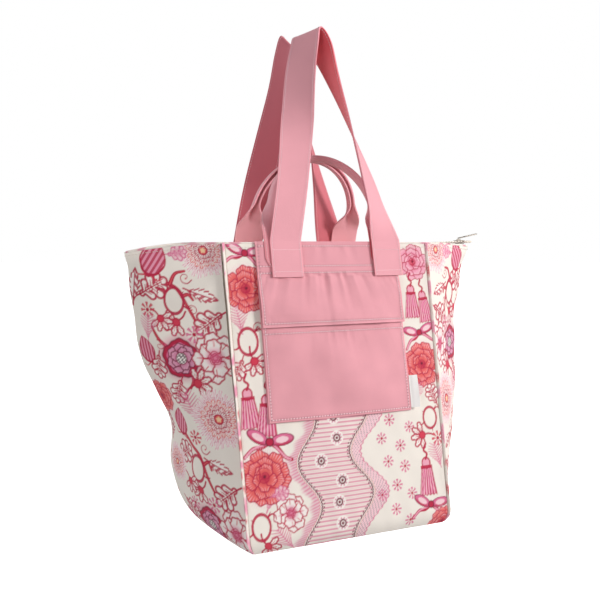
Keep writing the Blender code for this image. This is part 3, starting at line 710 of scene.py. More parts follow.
def rose(m, light=CORAL, deep=CRIMSON, tip=BLUSH):
    """A full round rose in overlapping petals, with curled lines at its heart."""
    hairs = smooth_step(0.0, 0.5, np.sin(70 * m.a + 9 * m.r))
    m.paint(hairs * smooth_step(1.28, 0.95, m.r), tip, 0.9)
    petalled(m, ((0.70, 9, 0.34), (0.48, 7, 0.31), (0.27, 5, 0.25)), light, deep, CRIMSON, tip,
             int(abs(m.x) * 4e3))
    for k in range(4):
        curl = m.far(0.05, 0.04) - (0.07 + 0.07 * k) * (1 + 0.22 * np.sin(m.a + 2.2 * k))
        m.paint(m.line(curl, 0.035) * smooth_step(-0.6, -0.2, np.sin(m.a * 1.5 + 2 * k)), CRIMSON, 0.9)
    m.dot(0.04, 0.03, 0.06, MAROON)


def pink_rose(m):
    """The rose in pinks."""
    rose(m, PINK, RED, WHITE_INK)


def rimmed_bloom(m):
    """A cupped flower with a deep crimson rim and a soft glow around it."""
    m.paint(1 - smooth_step(0.80, 1.45, m.r), ROSE, 0.65)
    edge = 0.98 + 0.05 * np.sin(5 * m.a) + 0.02 * np.sin(13 * m.a)
    m.fill(m.r - edge, CRIMSON)
    m.edge(m.r - edge, 0.07, MAROON, 0.8)
    m.fill(m.r - 0.80 * edge, ROSE)
    petalled(m, ((0.50, 7, 0.30), (0.34, 5, 0.26)), LILAC, CRIMSON, MAROON, BLUSH, 8, 0.06)
    m.fill(m.r - 0.28, WHITE_INK)
    m.paint(m.inside(m.r - 0.27) * (np.sin(30 * m.u + 9 * m.v) * np.sin(28 * m.v) > -0.1), GREY, 0.9)
    m.edge(m.r - 0.30, 0.05, MAROON, 0.8)


def open_bloom(m):
    """A big open flower drawn in line, with a flushed middle."""
    petalled(m, ((0.72, 8, 0.34), (0.46, 6, 0.30)), WHITE_INK, PINK, CRIMSON, BLUSH, 3, 0.075)
    m.paint(m.inside(m.r - 0.34) * smooth_step(0.36, 0.1, m.r), ROSE, 0.9)
    for k in range(3):
        m.edge(m.r - 0.10 - 0.09 * k - 0.02 * np.sin(5 * m.a + k), 0.04, CRIMSON, 0.85)
    for k in range(8):
        angle = k * math.pi / 4 + 0.5
        m.stroke(((0.50 * math.cos(angle), 0.50 * math.sin(angle)),
                  (0.82 * math.cos(angle), 0.82 * math.sin(angle))), 0.045, RED, 0.4, False)


def dahlia(m):
    """A fringed flower: scalloped bands of fine dashes around a pale heart."""
    wobble = 1 + 0.05 * np.sin(5 * m.a + 1) + 0.03 * np.sin(8 * m.a)
    bands = ((1.28, 26, PINK, 0.8), (1.04, 22, ROSE, 0.85), (0.82, 18, CORAL, 0.85),
             (0.61, 13, RED, 0.9), (0.42, 9, CRIMSON, 0.9))
    for radius, petals, tone, strength in bands:
        edge = radius * wobble * (0.84 + 0.16 * abs(np.cos(petals / 2 * m.a + 4 * radius)))
        inside = m.inside(m.r - edge)
        m.paint(inside, WHITE_INK, 0.85)
        dashes = smooth_step(-0.1, 0.5, np.cos(3 * petals * m.a + 12 * radius))
        m.paint(inside * dashes * smooth_step(edge - 0.24, edge - 0.10, m.r), tone, strength)
        m.paint(inside * smooth_step(edge - 0.12, edge - 0.22, m.r), BLUSH, 0.7)
        if radius < 1:
            m.edge(m.r - edge, 0.045, tone, 0.9)
    m.dot(0, 0, 0.20, CORAL, CRIMSON)
    m.fill(m.r - 0.11 - 0.02 * np.sin(5 * m.a), HONEY)


def oak_leaf(m, tone=CRIMSON, fill=WHITE_INK):
    """A leaf with deep round lobes, drawn in line, with its veins."""
    rounds = [(0, level, 0.17) for level in np.linspace(-0.75, 0.8, 8)] + [(0, 0.86, 0.24)]
    for level, reach, wide in ((-0.50, 0.46, 0.21), (-0.02, 0.60, 0.24), (0.42, 0.42, 0.20)):
        for way in (-1, 1):
            for share in (0.35, 0.6, 0.8, 1.0):
                rounds.append((way * reach * share, level + 0.26 * share, wide * (0.6 + 0.4 * share)))
    m.outlined(m.lobes(rounds), fill, tone, 0.13)
    m.stroke(((0.10, -1.35), (0.02, -0.7), (0.02, 0.0), (0, 0.72)), 0.12, tone, 0.5)
    for level, reach in ((-0.45, 0.36), (-0.02, 0.44), (0.40, 0.28)):
        for way in (-1, 1):
            m.stroke(((0, level), (way * reach, level + 0.20)), 0.07, tone, 0.4, False)


def pale_leaf(m):
    """The lobed leaf in pale pinks."""
    oak_leaf(m, ROSE, BLUSH)


def saw_leaf(m):
    """A long leaf with toothed edges, hatched on one half."""
    shape, along, across = m.leaf_shape((0, -1.0), (0, 1.0), 0.36,
                                        lambda s: np.sin(math.pi * s) * (0.70 + 0.5 * ((6 * s) % 1.0)))
    m.fill(shape, WHITE_INK)
    hatch = smooth_step(-0.3, 0.3, np.sin(26 * along + 12 * across))
    m.paint(m.inside(shape) * (across > 0) * hatch, CRIMSON, 0.85)
    m.edge(shape, 0.10, CRIMSON, 0.95)
    m.stroke(((0.05, -1.35), (0, -0.5), (0, 0.9)), 0.10, CRIMSON, 0.4)


def spray(m):
    """A round berry with a hand of five lobed leaflets."""
    rounds, ribs = [], []
    for k in range(5):
        angle = math.radians(-85 + 42 * k)
        for share, wide in ((0.30, 0.15), (0.50, 0.18), (0.70, 0.23), (0.92, 0.17)):
            rounds.append((share * math.cos(angle), share * math.sin(angle), wide))
        ribs.append(((0.1, 0), (0.72 * math.cos(angle), 0.72 * math.sin(angle))))
    m.outlined(m.lobes(rounds), WHITE_INK, CRIMSON, 0.13)
    for rib in ribs:
        m.stroke(rib, 0.07, RED, 0.5, False)
    m.stroke(((-1.15, 0.30), (-0.7, 0.06), (-0.1, 0)), 0.14, CRIMSON)
    m.dot(-0.02, 0, 0.30, RED, CRIMSON)


def bud(m):
    """A closed striped bud in its cup."""
    shape, along, across = m.leaf_shape((0, -0.85), (0, 0.95), 0.66,
                                        lambda s: np.sin(math.pi * s ** 0.75) ** 0.8)
    m.fill(shape, PINK)
    m.paint(m.inside(shape) * smooth_step(-0.35, 0.25, np.sin(24 * (across - 0.5 * along))), CRIMSON, 0.85)
    m.edge(shape, 0.08, CRIMSON, 0.9)
    for way in (-1, 1):
        m.stroke(((0, -0.95), (way * 0.42, -0.70), (way * 0.62, -0.25)), 0.17, CRIMSON, 0.6)
        m.stroke(((way * 0.2, -0.95), (way * 0.55, -1.05), (way * 0.75, -0.85)), 0.10, RED, 0.6)


def ring(m):
    """A stem that loops around, with a curl and a short thorned spur on it."""
    m.edge((np.hypot(m.u / 0.66, m.v / 0.86) - 1) * 0.76, 0.19, CRIMSON, 0.95)
    m.stroke(((0.5, 0.62), (0.80, 0.80), (1.05, 0.66), (1.10, 0.42)), 0.12, CRIMSON, 0.5)
    m.stroke(((-0.60, -0.30), (-0.85, -0.48), (-1.15, -0.45)), 0.13, CRIMSON, 0.4)
    for u, v in ((0.72, 0.9), (-0.7, 0.55), (0.2, -1.05)):
        m.stroke(((u * 0.8, v * 0.8), (u, v * 1.08)), 0.11, CRIMSON, 0.7, False)


def curl(m):
    """A tendril that winds up at its end."""
    turns = np.linspace(0, 1.35, 9)
    winding = [((1 - 0.62 * s) * math.cos(5.2 * s) - 0.2, (1 - 0.62 * s) * math.sin(5.2 * s)) for s in turns]
    m.stroke(winding, 0.17, CRIMSON, 0.6)
    m.dot(*winding[-1], 0.13, RED)


def vine(cloth, points, width=0.0052, tone=CRIMSON):
    """A thick stem through points in metres, with a light line along it."""
    points = np.array(points)
    middle, size = (points.max(0) + points.min(0)) / 2, np.ptp(points, axis=0).max()
    m = Motif(cloth, *middle, size, reach=0.6)
    m.stroke((points - middle) / size, width / size, tone, 0.45)
    m.stroke((points - middle) / size, 0.3 * width / size, CORAL, 0.6, amount=0.7)


def tassel(m):
    """A skirt of strands hung from a knot and a short cord."""
    depth = np.clip((0.30 - m.v) / 1.35, 0, 1)
    half = 0.30 + 0.20 * depth
    skirt = np.maximum(abs(m.u) - half, np.maximum(m.v - 0.30, -1.05 - 0.07 * abs(np.sin(15 * m.u)) - m.v))
    strand = m.u / half
    m.fill(skirt, ROSE)
    m.paint(m.inside(skirt) * smooth_step(0.0, 0.7, np.sin(19 * strand)), BLUSH, 0.75)
    m.paint(m.inside(skirt) * smooth_step(-0.75, -0.95, np.sin(19 * strand)), CRIMSON, 0.8)
    m.edge(skirt, 0.06, CRIMSON, 0.7)
    m.outlined(np.hypot(m.u / 0.9, m.v - 0.50) - 0.27, PINK, CRIMSON, 0.08)
    m.fill(np.maximum(abs(m.u) - 0.34, abs(m.v - 0.30) - 0.08), CRIMSON, 0.95)
    m.stroke(((0, 0.70), (0.10, 0.95), (-0.08, 1.15), (0.05, 1.45)), 0.11, CRIMSON)


def bow(m):
    """A ribbon bow with two loops and two trailing ends."""
    m.stroke(((0, 0), (0.42, -0.24), (0.85, -0.62), (1.2, -0.70)), 0.24, CRIMSON, 0.3)
    m.stroke(((0, 0), (-0.4, -0.30), (-0.80, -0.40), (-1.2, -0.85)), 0.24, CRIMSON, 0.3)
    m.stroke(((0.2, -0.1), (0.85, -0.60), (1.15, -0.70)), 0.09, PINK)
    m.stroke(((-0.2, -0.14), (-0.8, -0.40), (-1.15, -0.82)), 0.09, PINK)
    for way, tilt in ((1, 16), (-1, -22)):
        angle = math.radians(tilt)
        a = math.cos(angle) * (m.u - way * 0.62) + math.sin(angle) * (m.v - 0.17)
        b = -math.sin(angle) * (m.u - way * 0.62) + math.cos(angle) * (m.v - 0.17)
        loop = (np.hypot(a / 0.58, b / 0.27) - 1) * 0.35
        m.fill(loop, BLUSH, 0.9)
        m.edge(loop + 0.07, 0.17, ROSE)
        m.paint(m.line(loop + 0.07, 0.17) * smooth_step(0.0, -0.2, b), CRIMSON, 0.8)
        m.edge(loop, 0.05, MAROON, 0.7)
    m.dot(0, 0, 0.19, CRIMSON, MAROON)


def daisy(m, tone=ROSE):
    """A small eight-petalled flower."""
    m.paint(m.inside(abs(m.r - 0.66) - 0.34) * smooth_step(-0.25, 0.2, np.cos(8 * m.a)), tone, 0.9)
    m.dot(0, 0, 0.24, CRIMSON)


def red_daisy(m):
    """The daisy in red."""
    daisy(m, RED)


def plume(m):
    """A soft feathery filler leaf in pale dashes."""
    for k in range(9):
        level = -0.8 + 0.2 * k
        reach = 0.75 * math.sin(math.pi * (k + 1) / 11)
        for way in (-1, 1):
            m.stroke(((0.05 * way, level), (way * reach, level + 0.35)), 0.11, ROSE, 0.5, False, 0.75)
    m.stroke(((0, -1.1), (0, 0.9)), 0.08, ROSE, 0.4, False, 0.9)


def ring_dot(cloth, x, y):
    """A small ringed dot with a beaded pale halo."""
    m = Motif(cloth, x, y, RING_DOT, reach=2.0)
    m.fill(m.r - 1.7, WHITE_INK, 0.95)
    m.edge(m.r - 0.78, 0.42, MAROON, 0.95)
    m.paint(m.inside(abs(m.r - 1.22) - 0.16) * smooth_step(-0.2, 0.2, np.cos(10 * m.a)), ROSE, 0.8)
    m.dot(0, 0, 0.34, MAROON)


def ribbon_waves(cloth, left, right, low, high):
    """A striped ribbon that runs up between two wavy lace edges, with a fringe on its left and a
    dotted pale band on its right."""
    x, y = cloth.x, cloth.y
    left_edge = left + 0.013 * np.cos(math.tau * (y - 0.044) / 0.099)
    right_edge = right + 0.014 * np.cos(math.tau * (y - 0.053) / 0.097)
    soft = INK_EDGE
    upright = ((y > low) & (y < high)).astype(float)
    body = smooth_step(-soft, soft, x - left_edge) * smooth_step(soft, -soft, x - right_edge) * upright
    cloth.paint(body * smooth_step(-0.1, 0.4, wave(y, 0.0050)), ROSE, 0.72)
    cloth.paint(body * smooth_step(0.9, 1.0, -wave(y, 0.0050)), PINK, 0.5)
    for k in range(int((high - low) / 0.0245) + 1):
        ring_y = low + 0.021 + k * 0.0245
        shift = 0.010 * math.cos(math.tau * (ring_y - 0.048) / 0.098)
        ring_dot(cloth, (left + right) / 2 + shift + (0.006 if k % 2 == 0 else -0.008), ring_y)
    for edge, way in ((left_edge, -1), (right_edge, 1)):
        scallop = 0.0011 * abs(wave(y, 0.0062))
        gap = way * (x - edge) - scallop
        cloth.paint(smooth_step(0.0021, 0.0014, abs(gap - 0.0004)) * upright, WHITE_INK, 0.9)
        cloth.paint(smooth_step(0.0013, 0.0006, abs(gap)) * upright, MAROON, 0.95)
        beads = smooth_step(-0.1, 0.3, wave(y, 0.0041))
        cloth.paint(beads * smooth_step(0.0012, 0.0006, abs(gap + 0.0026)) * upright, MAROON, 0.85)
        cloth.paint(smooth_step(0.0008, 0.0003, abs(gap - 0.0027)) * upright, RED, 0.7)
    out = left_edge - 0.0035 - x
    hairs = 0.5 + 0.5 * np.sin(math.tau * (y + 0.3 * out) / 0.0032 + 3 * np.sin(60 * y))
    reach = 0.014 + 0.003 * wave(y, 0.019)
    fringe = smooth_step(0, 0.001, out) * smooth_step(reach, reach * 0.4, out) * upright
    cloth.paint(fringe, LILAC, 0.40)
    cloth.paint(fringe * hairs, ROSE, 0.75)
    out = x - right_edge - 0.0040
    wide = 0.015 + 0.004 * wave(y - 0.02, 0.097)
    band = smooth_step(0, 0.001, out) * smooth_step(wide, wide - 0.0015, out) * upright
    cloth.paint(band, BLUSH, 0.95)
    specks = wave(out, 0.0040) * wave(y, 0.0040)
    cloth.paint(band * smooth_step(0.35, 0.6, specks), GREY, 0.65)
    rim = abs(out - wide - 0.0008 * wave(y, 0.006))
    cloth.paint(smooth_step(0.0014, 0.0005, rim) * upright, ROSE, 0.85)


FRONT_PRINT = (
    (plume, -0.126, 0.262, 0.016, 10), (plume, -0.1, 0.066, 0.021, -25), (plume, -0.09, 0.014, 0.016, 35),
    (bow, -0.113, 0.338, 0.021, -10), (rose, -0.115, 0.296, 0.026, 20), (ring, -0.117, 0.236, 0.0175, 0),
    (spray, -0.111, 0.213, 0.015, -60), (oak_leaf, -0.131, 0.205, 0.0125, 150),
    (curl, -0.103, 0.252, 0.007, 40), (tassel, -0.122, 0.165, 0.024, 3), (tassel, -0.101, 0.156, 0.025, -4),
    (bow, -0.1, 0.122, 0.024, -10), (rose, -0.109, 0.083, 0.029, 60), (open_bloom, -0.08, 0.041, 0.02, 20),
    (ring, -0.117, 0.03, 0.0165, 0), (spray, -0.111, 0.008, 0.014, -50),
    (pale_leaf, -0.092, 0.064, 0.01, -80), (daisy, 0.058, 0.133, 0.0074, 0),
    (daisy, 0.045, 0.112, 0.007, 0), (daisy, 0.071, 0.101, 0.0074, 0), (daisy, 0.052, 0.084, 0.0072, 0),
    (daisy, 0.075, 0.076, 0.0074, 0), (daisy, 0.062, 0.055, 0.0072, 0), (daisy, 0.082, 0.043, 0.007, 0),
    (daisy, 0.058, 0.027, 0.0072, 0), (daisy, 0.077, 0.012, 0.0074, 0), (daisy, 0.086, 0.122, 0.007, 0),
    (daisy, 0.04, 0.046, 0.0066, 0), (pink_rose, 0.115, 0.325, 0.022, 15), (tassel, 0.108, 0.279, 0.022, 0),
    (tassel, 0.126, 0.272, 0.021, 6), (bow, 0.115, 0.236, 0.02, 8), (rose, 0.114, 0.196, 0.026, 70),
    (plume, 0.1, 0.163, 0.014, -30), (oak_leaf, 0.126, 0.158, 0.0125, 20), (ring, 0.118, 0.13, 0.015, 0),
    (spray, 0.104, 0.11, 0.015, 190), (red_daisy, 0.127, 0.104, 0.009, 0), (plume, 0.124, 0.084, 0.015, 15),
    (tassel, 0.106, 0.064, 0.024, 0), (bow, 0.108, 0.026, 0.021, -10), (rose, 0.127, 0.002, 0.019, 30),
)
SIDE_PRINT = (
    (dahlia, 0.021, 0.341, 0.025, 0), (pale_leaf, 0.052, 0.338, 0.011, 80),
    (oak_leaf, 0.085, 0.298, 0.019, 62), (saw_leaf, 0.025, 0.289, 0.018, 108),
    (oak_leaf, 0.02, 0.258, 0.0185, -125), (ring, 0.06, 0.283, 0.0175, 0), (spray, 0.06, 0.258, 0.015, -30),
    (spray, 0.078, 0.262, 0.0135, -120), (bud, 0.08, 0.332, 0.0225, 20),
    (red_daisy, 0.094, 0.272, 0.0095, 0), (daisy, 0.04, 0.244, 0.01, 0), (curl, 0.043, 0.309, 0.008, 200),
    (curl, 0.04, 0.272, 0.007, 20), (saw_leaf, 0.107, 0.302, 0.019, 12), (plume, 0.096, 0.252, 0.015, 8),
    (rimmed_bloom, 0.059, 0.216, 0.0225, 0), (open_bloom, 0.017, 0.218, 0.027, 15),
    (bud, 0.104, 0.225, 0.017, -15), (oak_leaf, 0.09, 0.206, 0.014, 190),
    (spray, 0.042, 0.188, 0.0165, 160), (curl, 0.084, 0.232, 0.007, 70),
    (oak_leaf, 0.068, 0.178, 0.014, 200), (plume, 0.056, 0.16, 0.018, -20),
    (dahlia, 0.022, 0.148, 0.027, 0), (rose, 0.102, 0.168, 0.019, 0), (bud, 0.08, 0.14, 0.018, 15),
    (saw_leaf, 0.108, 0.132, 0.016, 20), (red_daisy, 0.058, 0.124, 0.0085, 0),
    (ring, 0.061, 0.088, 0.017, 0), (spray, 0.061, 0.063, 0.0145, -30), (spray, 0.079, 0.07, 0.013, -120),
    (oak_leaf, 0.086, 0.102, 0.016, 60), (saw_leaf, 0.027, 0.094, 0.017, 108),
    (oak_leaf, 0.022, 0.062, 0.018, -125), (curl, 0.045, 0.112, 0.0075, 200),
    (dahlia, 0.109, 0.086, 0.018, 0), (daisy, 0.044, 0.048, 0.0095, 0),
    (rimmed_bloom, 0.057, 0.022, 0.021, 0), (open_bloom, 0.016, 0.02, 0.026, 30),
    (oak_leaf, 0.09, 0.036, 0.014, 120), (bud, 0.101, 0.02, 0.015, -20), (daisy, 0.078, 0.044, 0.008, 0),
)
SIDE_VINES = (
    ((0.077, 0.312), (0.066, 0.303), (0.055, 0.296), (0.045, 0.278), (0.036, 0.258), (0.034, 0.250)),
    ((0.063, 0.302), (0.056, 0.314), (0.045, 0.317)),
    ((0.050, 0.288), (0.042, 0.290), (0.037, 0.284)),
    ((0.077, 0.125), (0.066, 0.113), (0.055, 0.103), (0.046, 0.084), (0.038, 0.062), (0.034, 0.050)),
    ((0.050, 0.094), (0.042, 0.098), (0.038, 0.090)),
    ((0.070, 0.226), (0.082, 0.236), (0.090, 0.252)),
    ((0.050, 0.200), (0.047, 0.192), (0.052, 0.182)),
)


def print_front(cloth):
    """The front or the back, from the left strip to the right one as someone facing it sees it."""
    ribbon_waves(cloth, -0.053, 0.013, 0.0, HEIGHT * 1.03)
    for draw, x, y, size, turn in FRONT_PRINT:
        draw(Motif(cloth, x, y, size, turn))


def print_side(cloth, middle):
    """A side panel: x runs from the front corner, and the middle is the wing's fold."""
    for far, flip in ((0, 1), (2 * middle, -1)):
        for points in SIDE_VINES:
            vine(cloth, [(far + flip * x, y) for x, y in points])
        for draw, x, y, size, turn in SIDE_PRINT:
            if flip == 1 or x < middle - 0.02:
                draw(Motif(cloth, far + flip * x, y, size, turn, flip))


# ---------------------------------------------------------------- body pieces
def make_face_panel(face):
    across, up = PRINT_CELLS["front"]
    x = np.linspace(-1, 1, across + 1)[None, :] * -face
    z = np.linspace(0.0004, HEIGHT, up + 1)[:, None]
    reach = corner(z / HEIGHT)[0] - WELT_CLEAR + 0.0006
    x = x * reach
    z = np.broadcast_to(z, x.shape)
    edge = smooth_step(1.0, 0.9, abs(x) / reach)
    grid = face_place(face, x, z, 0.0006 * edge * ripple(x, z, 11, 0.045))
    cloth = Cloth(x * -face, z)
    print_front(cloth)
    name = FACE_NAMES[face] + "_panel"
    panel = cloth_sheet(name + "_cloth", grid, CLOTH, "print", "bag", cloth.ink, CORE, reverse=CREAM)
    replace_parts(panel, name)


def side_grid(side, across, up):
    u = np.linspace(-1, 1, across + 1)[None, :] * side
    t = np.linspace(0.001, 1, up + 1)[:, None]
    u = u * (1 - (WELT_CLEAR - 0.0006) / corner(t)[1])
    return side_point(side, u, np.broadcast_to(t, u.shape))


def make_side_panel(side):
    grid = side_grid(side, *PRINT_CELLS["side"])
    run = grid_uv(grid)[..., 0]
    if side == LEFT:
        run = run[:, -1:] - run
    cloth = Cloth(run, grid[..., 2].copy())
    print_side(cloth, WING_FOLD_RUN)
    name = SIDE_NAMES[side] + "_side_panel"
    panel = cloth_sheet(name + "_cloth", grid, CLOTH, "print", "bag", cloth.ink, CORE, reverse=CREAM)
    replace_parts(panel, name)


def make_welt(face, side):
    """A folded seam allowance: a flat fin of cloth that stands out along the corner."""
    t = np.linspace(0.004, 1.0, 90)
    half_width, half_depth = corner(t)
    root = tuck(np.stack((side * (half_width - WELT_ROOT), face * (half_depth - WELT_ROOT),
                          t * HEIGHT), -1))
    heading = WELT_HEADING + 0.18 * ripple(t * HEIGHT, 0 * t, 31 + face + 2 * side, 0.12)
    out = np.stack((side * np.cos(heading), face * np.sin(heading), 0 * t), -1)
    across = np.stack((-side * np.sin(heading), face * np.cos(heading), 0 * t), -1)
    fin, half = WELT_FIN[side]
    reach = fin * smooth_step(0.0, 0.03, t) + 0.0012
    rings = []
    for k in range(WELT_AROUND):
        angle = math.tau * k / WELT_AROUND
        far = (0.5 + 0.5 * math.cos(angle)) * reach
        wide = half * math.sin(angle) * (1.0 if math.cos(angle) < 0.8 else 0.85)
        rings.append(root + out * far[:, None] + across * wide)
    rings = np.stack(rings, 1)
    points, faces = tube_mesh(rings if side * face > 0 else rings[:, ::-1])
    z = points[:, 2]
    near = ripple(z, points[:, 0], 77 + side, 0.035)
    colour = CREAM + (PINK - CREAM) * smooth_step(0.1, 0.3, near)[:, None]
    colour = colour + (RED - colour) * (0.8 * smooth_step(-0.28, -0.4, near))[:, None]
    name = f"{FACE_NAMES[face]}_{SIDE_NAMES[side]}_seam_welt"
    uv = np.stack((np.tile(np.arange(WELT_AROUND) * 0.0011, len(t)), z), -1)
    welt = finish_mesh(name + "_fold", points, faces, "print", "bag", colour, uv)
    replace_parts(welt, name)
    line = root + out * 0.0022 + across * (half + 0.0001)
    stitches(name + "_stitches", [(line, across)], "cream_thread", "bag", *WELT_STITCH)


def make_base():
    ring = body_ring(0.0, 0.0)
    ring[:, :2] *= 0.992
    centre = ring.mean(0)
    shares = np.linspace(0.02, 1.0, 40)[:, None, None]
    top = centre + (ring - centre)[None] * shares
    top[..., 2] = 0.0004
    closed = np.concatenate((top, top[:, :1]), 1)
    cloth = Cloth(closed[..., 0] + 0.14, closed[..., 1] + 0.13)
    print_side(cloth, WING_FOLD_RUN)
    ob = cloth_sheet("base_cloth", closed, CLOTH, "print", "bag", cloth.ink, reverse=CREAM)
    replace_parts(ob, "base_panel")


def make_rim():
    """The turned edge around the mouth, over the top of the panels and the facings."""
    ring = body_ring(1.0, 0.0012, 60, 80)
    inward = unit(body_ring(1.0, 0.0032, 60, 80) - ring)
    rings = []
    for k in range(10):
        angle = math.tau * k / 10
        rings.append(ring + inward * 0.0019 * math.cos(angle) + UP * (0.0015 * math.sin(angle) - 0.0006))
    rings = np.stack(rings, 1)
    points, faces = tube_mesh(rings, closed=True)
    tone = ripple(points[:, 0], points[:, 1], 5, 0.03)
    colour = CREAM + (ROSE - CREAM) * (0.7 * smooth_step(0.0, 0.3, tone))[:, None]
    pocket = (points[:, 0] > POCKET_LEFT) & (points[:, 0] < POCKET_RIGHT) & (points[:, 1] < -0.04)
    colour = np.where(pocket[:, None], CANVAS_PINK, colour)
    finish_mesh("mouth_rim", points, faces, "print", "bag", colour, points[:, [0, 2]])
    hem = body_ring(HEM_ROW / HEIGHT, -0.0003, 60, 80)
    hidden = (hem[:, 0] > POCKET_LEFT - 0.002) & (hem[:, 0] < POCKET_RIGHT + 0.002) & (hem[:, 1] < -0.04)
    start = int(np.argmax(hidden)) + int(hidden.sum())
    order = (np.arange(len(hem)) + start) % len(hem)
    order = order[~hidden[order]]
    stitches("mouth_stitches", [(hem[order], -inward[order])], "cream_thread", "bag", *HEM_STITCH)


def loft_inside(name, levels, inset, thickness, kind, node, start=0, end=None):
    """A piece of the inside that follows the body's outline, seen from within the bag."""
    rows = np.stack([body_ring(t, inset) for t in levels])
    rows = np.concatenate((rows, rows[:, :1]), 1)
    rows = rows[:, start:end]
    rows = rows[:, ::-1]
    waves = ripple(rows[..., 0] + rows[..., 1], rows[..., 2], 15, 0.07)
    rows = rows + grid_normals(rows) * (0.0004 * waves)[..., None]
    ob = cloth_sheet(name, rows, thickness, kind, "bag", COTTON)
    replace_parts(ob, node)
    return ob


def make_inside():
    levels = np.linspace(*LINING_SPAN, 40)
    loft_inside("lining_cloth", levels, LINING_INSET, LINING_THICK, "cotton", "lining")
    levels = np.linspace(*FACING_SPAN, 7)
    for name, start, end in (("front", 0, 41), ("right", 40, 101), ("back", 100, 141), ("left", 140, 201)):
        loft_inside(f"{name}_facing_cloth", levels, FACING_INSET, FACING_THICK, "cotton",
                    f"{name}_facing", start, end)
    ring = body_ring(0.012, 0.006)
    centre = ring.mean(0)
    floor = centre + (ring - centre)[None] * np.linspace(1.0, 0.02, 16)[:, None, None]
    floor = np.concatenate((floor, floor[:, :1]), 1)
    floor[..., 2] = LINING_FLOOR
    cloth_sheet("lining_floor", floor, LINING_THICK, "cotton", "bag", COTTON)
    dress_node("base_board", "board")


# ---------------------------------------------------------------- pocket
def stitch_frame(x_range, levels, rise_range, counts, out):
    """Stitch lines across at each level, and one up each side, on a piece of the front."""
    run = np.linspace(x_range[0] + EDGE_STITCH, x_range[1] - EDGE_STITCH, counts[0])
    rise = np.linspace(*rise_range, counts[1])
    return ([face_row(FRONT, run, level, out) for level in levels]
            + [face_row(FRONT, edge, rise, out) for edge in (run[0], run[-1])])


def face_grid(face, x_range, z_range, cells, out):
    """A grid on the front or back, with its outward side right for a sheet. out gives n at x, z."""
    x = np.linspace(*x_range, cells[0] + 1)[None, :]
    z = np.linspace(*z_range, cells[1] + 1)[:, None]
    x, z = np.broadcast_arrays(x if face == FRONT else x[:, ::-1], z)
    return x, z, face_place(face, x, z, out(x, z))


def face_row(face, points_x, points_z, out):
    """A line for stitches on the face, with the normals there."""
    x, z = np.broadcast_arrays(np.asarray(points_x, float), np.asarray(points_z, float))
    normal = np.array((0, face * math.cos(TILT), math.sin(TILT)))
    return face_place(face, x, z, out(x, z)), np.broadcast_to(normal, x.shape + (3,))


def canvas_colour(base, x, z, x_range, z_range, rows=(), amount=0.10):
    """Painted highlight along the turned edges, painted shade just inside them, and painted shade along and
    between the stitches of rows.
    """
    gap = np.minimum(np.minimum(x - x_range[0], x_range[1] - x), np.minimum(z - z_range[0], z_range[1] - z))
    # Painted highlight on the turned edges and painted shade in a band just inside them
    tone = 1 + amount * smooth_step(0.0022, 0.0004, gap) - amount * 0.4 * smooth_step(0.0015, 0.004, gap) \
        * smooth_step(0.009, 0.005, gap)
    tone = tone * (1 + 0.03 * ripple(x, z, 3, 0.05))
    between = smooth_step(-0.3, 0.7, np.cos(math.tau * (x - x_range[0] - EDGE_STITCH) / STITCH_PITCH))
    # Painted shade along each stitched row, deepest between the stitches
    for row in rows:
        tone = tone * (1 - (0.08 + 0.30 * between) * np.exp(-((z - row) / 0.0012) ** 2))
    low = min(rows, default=z_range[0])
    between = smooth_step(-0.3, 0.7, np.cos(math.tau * (z - low) / STITCH_PITCH))
    # Painted shade along the stitched sides, deepest between the stitches
    for row in (x_range[0] + EDGE_STITCH, x_range[1] - EDGE_STITCH):
        tone = tone * (1 - (0.07 + 0.26 * between) * np.exp(-((x - row) / 0.0012) ** 2) * (z > low))
    return np.clip(base * tone[..., None], 0, 1)


def pucker(x, z, row, reach, strength, wide=1.0):
    """Small gathers that hang below a stitched row and spread as they fall."""
    below = row - z
    fade = smooth_step(-0.0008, 0.0015, below) * np.exp(-np.clip(below, 0, 1) / reach)
    x = (x + 0.010) / (1 + 6 * np.clip(below, 0, 1)) / wide
    waves = np.sin(math.tau * x / 0.0150 + 2.2 * np.sin(37 * x)) + 0.5 * np.sin(math.tau * x / 0.0083 + 1.0)
    return strength * fade * waves * (0.6 + 0.4 * np.sin(61 * x + 1.3))


def flap_out(x, z):
    """Distance of the flap from the panel: flat to its fold line, then out over the pouch."""
    drop = np.clip((FLAP_HINGE + 0.003 - z) / 0.045, 0, 1)
    lift = 0.0029 + 0.0066 * drop ** 0.85
    corners = 0.0016 * smooth_step(0.6, 1.0, abs(x - 0.5 * (POCKET_LEFT + POCKET_RIGHT)) / 0.095) * drop**2
    row = 0.0006 * np.exp(-((z - 0.3175) / 0.003) ** 2)
    gathers = pucker(x, z, 0.3135, 0.020, 0.0010) + pucker(x, z, 0.3100, 0.024, 0.0014, 2.1)
    gathers = gathers + pucker(x, z, 0.3455, 0.012, 0.00045, 1.6) * smooth_step(0.318, 0.326, z)
    bottom = pucker(x, 2 * FLAP_EDGE + 0.0045 - z, FLAP_EDGE, 0.007, 0.00022)
    folds = 0.0030 * drop * ripple(x, z, 8, 0.075)
    return lift - corners + row + gathers + bottom + folds


